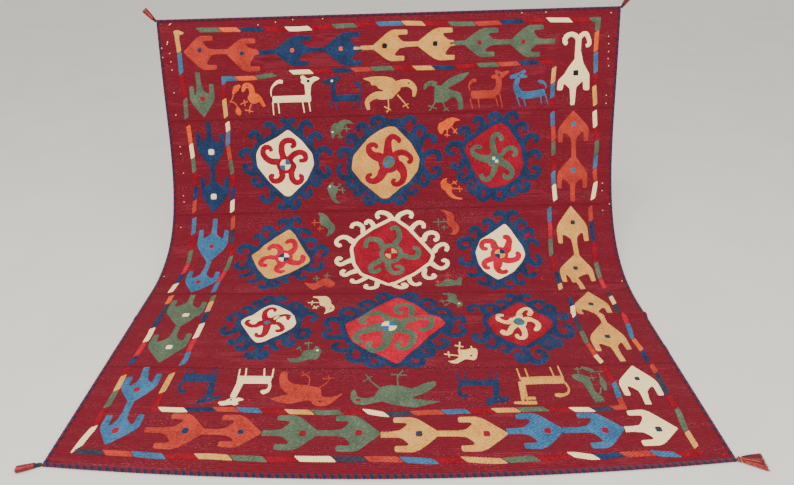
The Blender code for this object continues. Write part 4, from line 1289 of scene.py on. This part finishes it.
work_patch(
    "rust",
    (-282, 1324, -277, 1318, -269, 1318, -264, 1326, -262, 1344, -256, 1354, -242, 1362, -219, 1364,
     -180, 1372, -172, 1380, -171, 1395, -166, 1403, -148, 1404, -133, 1401, -119, 1390, -119, 1397,
     -133, 1412, -144, 1424, -157, 1431, -174, 1433, -186, 1428, -192, 1419, -199, 1414, -219, 1419,
     -243, 1426, -267, 1423, -295, 1411, -267, 1400, -250, 1395, -262, 1388, -276, 1371, -282, 1350,
     -284, 1333), 1)
claw(
    "rust", (-205, 1368, -209, 1336, -219, 1328), (-228, 1318, -219, 1328, -209, 1318),
    (-228, 1334, -219, 1328), (-178, 1374, -157, 1350, -159, 1331), (-173, 1344, -145, 1341), width=3.2)
work_patch("slate", (-177, 1414, -167, 1416, -165, 1420, -174, 1420), 1, BEAD_LIFT, EYE_SPACING)
work_patch(
    "green",
    (-90, 1378, -98, 1388, -98, 1409, -87, 1426, -63, 1429, -22, 1418, -7, 1423, 0, 1427, 29, 1433,
     59, 1438, 123, 1419, 85, 1415, 50, 1409, 62, 1403, 88, 1391, 115, 1367, 113, 1353, 85, 1360, 53, 1378,
     26, 1368, 0, 1365, -22, 1370, -34, 1388, -40, 1403, -60, 1409, -81, 1403, -85, 1388), 2)
claw(
    "green", (-25, 1378, -51, 1350, -63, 1329), (-69, 1354, -48, 1335), (19, 1370, 19, 1335, 32, 1315),
    (0, 1329, 42, 1332))
work_patch(
    "red", (-85, 1410, -79, 1410, -73, 1412, -73, 1418, -79, 1418, -85, 1417), 1, BEAD_LIFT, EYE_SPACING)
figure(
    "navy", ((172, 1362, 272, 1362), (21, 21)), ((265, 1368, 259, 1409), (18, 16)),
    ((172, 1366, 170, 1388, 172, 1401, 180, 1405, 189, 1400), (9, 8, 10, 14, 12)))
work_patch(
    "navy",
    (233, 1437, 232, 1414, 245, 1410, 252, 1407, 272, 1405, 283, 1410, 292, 1416, 283, 1424, 269, 1426,
     252, 1429, 241, 1435), 0)
claw(
    "navy", (173, 1357, 167, 1321), (194, 1357, 188, 1317), (254, 1357, 250, 1321), (271, 1357, 271, 1323),
    width=4)
bead("red", 263, 1417)
figure(
    "tan", ((330, 1357, 439, 1356), (28, 28)), ((330, 1359, 326, 1424), (18, 18)),
    ((298, 1428, 326, 1429, 354, 1429), (7, 12, 12)), ((330, 1415, 354, 1415), (11, 10)),
    ((439, 1366, 443, 1386, 437, 1401, 427, 1407, 413, 1408, 403, 1407), (7, 5, 7, 10, 15, 10)))
claw(
    "tan", (330, 1352, 327, 1313), (351, 1352, 348, 1314), (417, 1352, 414, 1311), (438, 1352, 435, 1307),
    width=4)
bead("red", 327, 1422, 6)
work_patch(
    "green",
    (460, 1344, 472, 1337, 492, 1341, 504, 1348, 506, 1370, 504, 1388, 507, 1409, 519, 1417, 519, 1432,
     495, 1432, 491, 1415, 487, 1388, 484, 1370, 469, 1359), 2)
figure(
    "green", ((535, 1351, 534, 1374, 533, 1398), (6, 18, 6)),
    ((496, 1313, 511, 1321, 525, 1329), (6, 15, 6)))
claw(
    "green", (502, 1400, 512, 1408, 524, 1388), (535, 1338, 532, 1356), (513, 1332, 548, 1332),
    (482, 1342, 484, 1314), (475, 1320, 495, 1319), (503, 1353, 522, 1353), (513, 1342, 513, 1362),
    (496, 1425, 498, 1436), (506, 1425, 507, 1437), (515, 1425, 517, 1434), width=3.4)
claw("rose", (724, 1604, 735, 1602), width=1.6)
finish_strip(5)

# ---- Seams ------------------------------------------------------------------------------------------
# The strips are oversewn edge to edge with doubled madder-red yarn, in short slanting stitches
# seven millimetres apart, which cross the join from one strip to the next.
SEAM_PITCH = 0.007
SEAM_REACH = 0.0032
SEAM_LEAN = 0.0016
SEAM_RADIUS = 0.0013
SEAM_FLATNESS = 0.8
SEAM_LIFT = 0.0001
# The seam yarn's colour is dark madder, darkened further to stand for the shade along the join: partly its
# own colour, partly painted shade.
seam_yarn_darkened_as_shade = crewel("madder seam yarn", "#560d18", "#3c0911", "#6c1420", 0.25)
oversewing = bmesh.new()
seam_down = BINDING_WIDTH + GAP
for strip_width in STRIP_WIDTHS[:-1]:
    seam_down += strip_width + GAP
    for index in range(round(PANEL_WIDTH / SEAM_PITCH) - 1):
        middle = -PANEL_WIDTH / 2 + SEAM_PITCH * (index + 1)
        made = bmesh.ops.create_grid(oversewing, x_segments=4, y_segments=6, size=1.0)["verts"]
        for vert in made:
            along = vert.co.x
            turn = (vert.co.y + 1) * math.pi
            size = SEAM_RADIUS * (1 - along * along) ** 0.5
            height = SHEET + SEAM_LIFT + size * SEAM_FLATNESS * math.sin(turn)
            across = middle + along * SEAM_LEAN + size * math.cos(turn)
            vert.co = (across, -seam_down + along * SEAM_REACH, height)
        bmesh.ops.remove_doubles(oversewing, verts=made, dist=TOUCHING)
bmesh.ops.recalc_face_normals(oversewing, faces=oversewing.faces)
lay_piece("seam_stitches", oversewing, seam_yarn_darkened_as_shade)

# ---- Overcast edge ----------------------------------------------------------------------------------
# All four raw edges are rolled and overcast with doubled wool, navy and madder red by turns, laid so
# close that the edge becomes a firm striped cord.
EDGE_INWARD = 0.0090
EDGE_HEIGHT = 0.0055
EDGE_TURNS = 12
EDGE_STEP = 0.0014
EDGE_BULGE = 0.12  # the cord is thinner by this share between two blocks of colour
EDGE_ROUNDING = 0.003  # its ends round off over this length
edge_wool, tree, shader = new_material("overcast edge wool, navy and madder")
wrap_place = add_node(tree, "UVMap", {"uv_map": "wrap"}).outputs["UV"]
wrap_parts = add_node(tree, "SeparateXYZ", Vector=wrap_place)
# The map counts blocks along the cord and turns round it. The two colours wind round together, so
# once round the cord moves on by one block of each.
along_cord, round_cord = wrap_parts.outputs[:2]
leaning = add_node(tree, "Math", MULTIPLY_ADD, _0=round_cord, _1=2.0, _2=along_cord).outputs[0]
to_and_fro = add_node(tree, "Math", {"operation": "PINGPONG"}, _0=leaning, _1=1.0).outputs[0]
is_red = add_node(tree, "Math", {"operation": "GREATER_THAN"}, _0=to_and_fro, _1=0.5).outputs[0]
thread_place = add_node(tree, "CombineXYZ", X=leaning, Y=round_cord).outputs[0]
THREADS_IN_BLOCK = 4
fineness = WAVE_PITCH * THREADS_IN_BLOCK
threads = add_node(tree, "TexWave", {"bands_direction": "X"}, Vector=thread_place, Scale=fineness,
                   Distortion=0.5).outputs["Fac"]
fleck_place = add_node(tree, "Mapping", Vector=thread_place, Scale=(4.0, 8.0, 1.0)).outputs[0]
flecks = add_node(tree, "TexNoise", Vector=fleck_place, Scale=1.0, Detail=2.0).outputs[0]
navy_ply = add_node(tree, "ValToRGB", stops=((0.0, "#0e152c"), (1.0, "#1d2b56")), Fac=flecks).outputs[0]
red_ply = add_node(tree, "ValToRGB", stops=((0.0, "#560b1a"), (1.0, "#7d1527")), Fac=flecks).outputs[0]
two_wools = add_node(tree, "MixRGB", Fac=is_red, Color1=navy_ply, Color2=red_ply).outputs[0]
make_woolly(tree, shader, two_wools, threads, 0.7, 0.0008, 0.9, 0.1)


def overcast(name, start, end, inward, nodes, block, width=EDGE_INWARD):
    """A wrapped cord along one edge, from start to end in metres across and up the flat cloth.

    block is the length of one block of colour.
    """
    run = np.array(end) - np.array(start)
    length = np.linalg.norm(run)
    rings = round(length / EDGE_STEP)
    cord = bmesh.new()
    grid = bmesh.ops.create_grid(cord, x_segments=rings, y_segments=EDGE_TURNS, size=1.0, calc_uvs=True)
    made = grid["verts"]
    wrap = cord.loops.layers.uv.new("wrap")
    for face in cord.faces:
        for loop in face.loops:
            spot = loop.vert.co
            loop[wrap].uv = ((spot.x + 1) / 2 * length / block, (spot.y + 1) / 2)
    for vert in made:
        share = (vert.co.x + 1) / 2
        turn = (vert.co.y + 1) * math.pi
        blocks = share * length / block + vert.co.y + 1
        bulge = 1 - EDGE_BULGE * math.cos(blocks * math.pi) ** 2
        end_size = min(1.0, min(share, 1 - share) * length / EDGE_ROUNDING + 0.02) ** 0.5
        reach = width / 2 * bulge * end_size
        middle = width / 2 - math.cos(turn) * reach
        height = EDGE_HEIGHT / 2 * (1 + math.sin(turn) * bulge * end_size)
        spot = np.array(start) + run * share + np.array(inward) * middle
        vert.co = (spot[0], spot[1], height)
    bmesh.ops.remove_doubles(cord, verts=made, dist=TOUCHING)
    bmesh.ops.holes_fill(cord, edges=[edge for edge in cord.edges if edge.is_boundary])
    bmesh.ops.recalc_face_normals(cord, faces=cord.faces)
    return lay_piece(name, cord, edge_wool, nodes, 60)


inset = WIDTH / 2 - 0.001  # the top and bottom cords end just inside the side ones
overcast("binding_top_wraps", (-inset, 0.0), (inset, 0.0), (0, -1), ["binding_top"], 0.0110, 0.0088)
for name, side, block in (("binding_left", -1, 0.0105), ("binding_right", 1, 0.0110)):
    edge = side * WIDTH / 2
    overcast(f"{name}_wraps", (edge, 0.0), (edge, -LENGTH), (-side, 0), [name], block)
overcast(
    "binding_bottom_wraps", (-inset, -LENGTH), (inset, -LENGTH), (0, 1), ["binding_bottom"], 0.0083, 0.0115)

# ---- Corner tassels ---------------------------------------------------------------------------------
# Each corner ends in a small tassel: a neck of wool bound round tightly with thread, and loose dyed
# strands beyond it, cut uneven. The upper two stick up from the top edge; the lower two lie on the floor.
STRANDS = 170
STRAND_SIDES = 5
STRAND_RADII = [0.0007] * 7 + [0.0006, 0.0003]
SHORTEST_STRAND = 0.82
DROOP_START = 0.45
FAN_POWER = 0.9
NECK_SIDES = 14
NECK_STEPS = 40
NECK_CORE = 0.94
THREAD_STEPS = 150
THREAD_RADIUS = 0.0006
LOWEST_STRAND = 0.0006
TUCKED_IN = 0.004  # the strands start this far inside the neck
strand_wools = {}
# The pink strands are pale streaks among the crimson, standing for the light caught on the wool: painted
# highlight.
for name, colour, dark in (
    ("crimson", "#8c1020", "#5c0812"), ("painted_highlight_pink", "#c24a50", "#93303a"), ("peach", "#e08a58", "#c06a3c"),
    ("rust", "#b03c28", "#80281a"), ("plum", "#4a1022", "#2c0a16"), ("night", "#16202e", "#0d141d"),
    ("pine", "#1d3a30", "#10221c"),
):
    strand_wool, tree, shader = new_material(f"tassel wool, {name}")
    strand_place = add_node(tree, "TexCoord").outputs["Object"]
    flecks = add_node(tree, "TexNoise", Vector=strand_place, Scale=260.0, Detail=2.0).outputs[0]
    plies = add_node(tree, "ValToRGB", stops=((0.35, dark), (0.6, colour)), Fac=flecks).outputs[0]
    tree.links.new(plies, shader.inputs["Base Color"])
    shader.inputs["Roughness"].default_value = 0.85
    shader.inputs["Sheen Weight"].default_value = 0.1
    strand_wools[name] = strand_wool


def tube(shape, centres, radii, lift, flatten=1.0):
    """A round, closed tube along these points, made from a grid rolled up round them."""
    centres = np.array(centres)
    rings = len(centres) + 1
    sides = NECK_SIDES if len(centres) >= NECK_STEPS else STRAND_SIDES
    ahead = np.gradient(centres, axis=0)
    ahead /= np.linalg.norm(ahead, axis=1)[:, None]
    aside = np.cross(np.array(lift), ahead)
    aside /= np.linalg.norm(aside, axis=1)[:, None]
    above = np.cross(ahead, aside)
    made = bmesh.ops.create_grid(shape, x_segments=rings, y_segments=sides, size=1.0)["verts"]
    for vert in made:
        turn = round((vert.co.x + 1) / 2 * rings)
        angle = (vert.co.y + 1) * math.pi
        index = min(max(turn - 1, 0), len(centres) - 1)
        size = 0.0 if turn in (0, rings) else radii[index]
        around = aside[index] * math.cos(angle) + above[index] * math.sin(angle) * flatten
        vert.co = centres[index] + size * around
    bmesh.ops.remove_doubles(shape, verts=made, dist=TOUCHING)


def add_tassel_piece(name, shape, wool, node):
    """Makes one wool of a tassel into a piece."""
    bmesh.ops.recalc_face_normals(shape, faces=shape.faces)
    mesh = bpy.data.meshes.new(name)
    shape.to_mesh(mesh)
    shape.free()
    mesh.materials.append(strand_wools[wool])
    mesh.shade_smooth()
    add_piece(name, mesh, [node])


def edge_point(side, down, out=0.0, lift=0.0):
    """A point at a side edge of the cloth, this far out from it and above its underside."""
    return place(np.array([side * (WIDTH / 2 + out)]), np.array([down]), np.array([lift]))[0]


def tassel(node, side, down, spread, neck, binding, wools, length, root_half, tip_half, stack, droop,
           stray, seed):
    """A tassel on a corner, turned down the cloth by spread from straight out at the side.

    neck lists out, half width, half height and middle height in millimetres. binding is the turns of
    thread, and wools the neck's, the thread's and then the strands' across the tassel. The strands leave
    the neck's end within root_half and end within tip_half, up to stack high; droop is how much of that
    they lose at their tips, and stray how far they wander.
    """
    chance = random.Random(seed)
    corner = edge_point(side, down, out=GAP)
    flat = edge_point(side, down)
    lift = edge_point(side, down, lift=SHEET) - flat
    lift /= np.linalg.norm(lift)
    along = edge_point(side, down + STEP) - flat
    along /= np.linalg.norm(along)
    outward = np.array((side, 0.0, 0.0)) * math.cos(spread) + along * math.sin(spread)
    outward /= np.linalg.norm(outward)
    across = np.cross(lift, outward)
    neck = np.array(neck) * MM
    neck_end = neck[-1][0]
    outs = np.linspace(0.0, neck_end, NECK_STEPS)
    profile = [np.interp(outs, neck[:, 0], neck[:, column]) for column in (1, 2, 3)]
    widths, heights, middles = profile
    core = bmesh.new()
    centres = corner + outs[:, None] * outward + middles[:, None] * lift
    tube(core, centres, widths * NECK_CORE, lift, float(np.mean(heights / widths)))
    wind = np.linspace(0.05, 0.95, THREAD_STEPS)
    spin = (wind * binding * 2 * math.pi)[:, None]
    widths, heights, middles = [np.interp(wind * neck_end, outs, part)[:, None] for part in profile]
    coil = corner + (wind * neck_end)[:, None] * outward + middles * lift
    coil = coil + widths * np.cos(spin) * across + heights * np.sin(spin) * lift
    thread = bmesh.new()
    tube(thread, coil, np.full(THREAD_STEPS, THREAD_RADIUS), outward)
    bundles = [bmesh.new() for _ in wools[2:]]
    for _ in range(STRANDS):
        angle = chance.uniform(0, 2 * math.pi)
        size = math.sqrt(chance.random())
        offset = math.cos(angle) * size
        rise = (math.sin(angle) * size + 1) / 2
        reach = length * chance.uniform(SHORTEST_STRAND, 1.0)
        wave = chance.uniform(-1, 1)
        phase = chance.uniform(0, 6.28)
        points = []
        for share in np.linspace(0.0, 1.0, len(STRAND_RADII)):
            late = max(0.0, (share - DROOP_START) / (1 - DROOP_START))
            fan = root_half + (tip_half - root_half) * share ** FAN_POWER
            height = LOWEST_STRAND + rise * stack * (1 - droop * late)
            sway = stray * wave * math.sin(share * 5 + phase) * share
            out = neck_end - TUCKED_IN + share * (reach + TUCKED_IN)
            points.append(corner + outward * out + across * (offset * fan + sway) + lift * height)
        band = ((1 - offset) / 2 + chance.uniform(-0.12, 0.12)) * len(bundles)
        tube(bundles[min(max(int(band), 0), len(bundles) - 1)], points, STRAND_RADII, lift)
    add_tassel_piece(node + "_neck", core, wools[0], node)
    add_tassel_piece(node + "_binding", thread, wools[1], node)
    for index, bundle in enumerate(bundles):
        add_tassel_piece(f"{node}_strands_{index + 1}", bundle, wools[index + 2], node)


# The necks: bound short, wrapped with a swollen end, and tied tight under a knot.
short_neck = ((0, 4.2, 2.5, 2.8), (5, 4.5, 4, 3), (11, 4.0, 3.8, 3), (14, 5.0, 4.4, 3))
wrapped_neck = (
    (0, 4.2, 2.5, 2.8), (5, 5.0, 4, 4.2), (12, 4.6, 4, 4.2), (15, 4.4, 3.8, 4), (17, 5.8, 4, 4.2),
)
tied_neck = (
    (0, 4.5, 2.5, 2.8), (5, 7.5, 4, 4.2), (10, 6.2, 4.2, 4.4), (13, 5.0, 3.8, 4), (15, 6.4, 3.8, 4),
)
# Each pink bundle is painted highlight on the crimson strands.
tassel(
    "tassel_top_left", -1, 0.005, math.radians(-46), short_neck, binding=4,
    wools=("night", "plum", "crimson", "crimson", "painted_highlight_pink", "crimson"), length=0.036, root_half=0.0055,
    tip_half=0.0092, stack=0.0080, droop=0.0, stray=0.0010, seed=11)
tassel(
    "tassel_top_right", 1, 0.005, math.radians(-52), short_neck, binding=4,
    wools=("plum", "night", "plum", "crimson", "plum", "crimson", "painted_highlight_pink"), length=0.038, root_half=0.0060,
    tip_half=0.0100, stack=0.0080, droop=0.0, stray=0.0022, seed=12)
tassel(
    "tassel_bottom_left", -1, LENGTH - 0.005, math.radians(17), wrapped_neck, binding=6,
    wools=("pine", "night", "crimson", "painted_highlight_pink", "crimson", "crimson"), length=0.034, root_half=0.0062,
    tip_half=0.0095, stack=0.0090, droop=0.0, stray=0.0010, seed=13)
tassel(
    "tassel_bottom_right", 1, LENGTH - 0.005, math.radians(6), tied_neck, binding=3,
    wools=("crimson", "peach", "crimson", "plum", "crimson", "crimson", "peach", "crimson", "rust",
           "crimson", "rust"),
    length=0.046, root_half=0.0072, tip_half=0.0240, stack=0.0080, droop=0.6, stray=0.0012, seed=14)

# ---- Floor, light and camera ------------------------------------------------------------------------
# A plain pale sealed floor, a broad soft light from above and in front, and the camera at the angle
# of the photograph.
floor_finish, tree, shader = new_material("sealed pale screed")
floor_place = add_node(tree, "TexCoord").outputs["Object"]
mottle = add_node(tree, "TexNoise", Vector=floor_place, Scale=3.0, Detail=4.0).outputs[0]
tint = add_node(tree, "ValToRGB", stops=((0.0, "#d9d5cc"), (1.0, "#e6e3db")), Fac=mottle).outputs[0]
tree.links.new(tint, shader.inputs["Base Color"])
shader.inputs["Roughness"].default_value = 0.7
ground = bmesh.new()
bmesh.ops.create_grid(ground, x_segments=1, y_segments=1, size=25.0)
floor_mesh = bpy.data.meshes.new("floor")
ground.to_mesh(floor_mesh)
ground.free()
floor_mesh.materials.append(floor_finish)
floor = bpy.data.objects.new("floor", floor_mesh)
bpy.context.scene.collection.objects.link(floor)

world = bpy.data.worlds.new("room light")
world.use_nodes = True
world.node_tree.nodes["Background"].inputs["Color"].default_value = linear("#f0eeea")
world.node_tree.nodes["Background"].inputs["Strength"].default_value = 1.18
bpy.context.scene.world = world
for name, spot, aim, size, power in (
    ("ceiling_light", (-0.5, -1.3, 2.9), (0.0, 0.3, 0.2), 2.4, 106),
    ("side_light", (2.2, -1.6, 1.8), (0.0, 0.4, 0.4), 1.6, 16),
):
    lamp = bpy.data.lights.new(name, "AREA")
    lamp.size = size
    lamp.energy = power
    light = bpy.data.objects.new(name, lamp)
    light.location = spot
    light.rotation_euler = (Vector(spot) - Vector(aim)).to_track_quat("Z", "Y").to_euler()
    bpy.context.scene.collection.objects.link(light)

camera_data = bpy.data.cameras.new("camera")
camera_data.lens = 26.37
camera_data.sensor_width = 36.0
camera = bpy.data.objects.new("camera", camera_data)
camera.location = (0.0106, -1.0240, 1.0359)
camera.rotation_euler = (math.radians(60.33), math.radians(0.12), math.radians(-0.40))
bpy.context.scene.collection.objects.link(camera)
bpy.context.scene.camera = camera
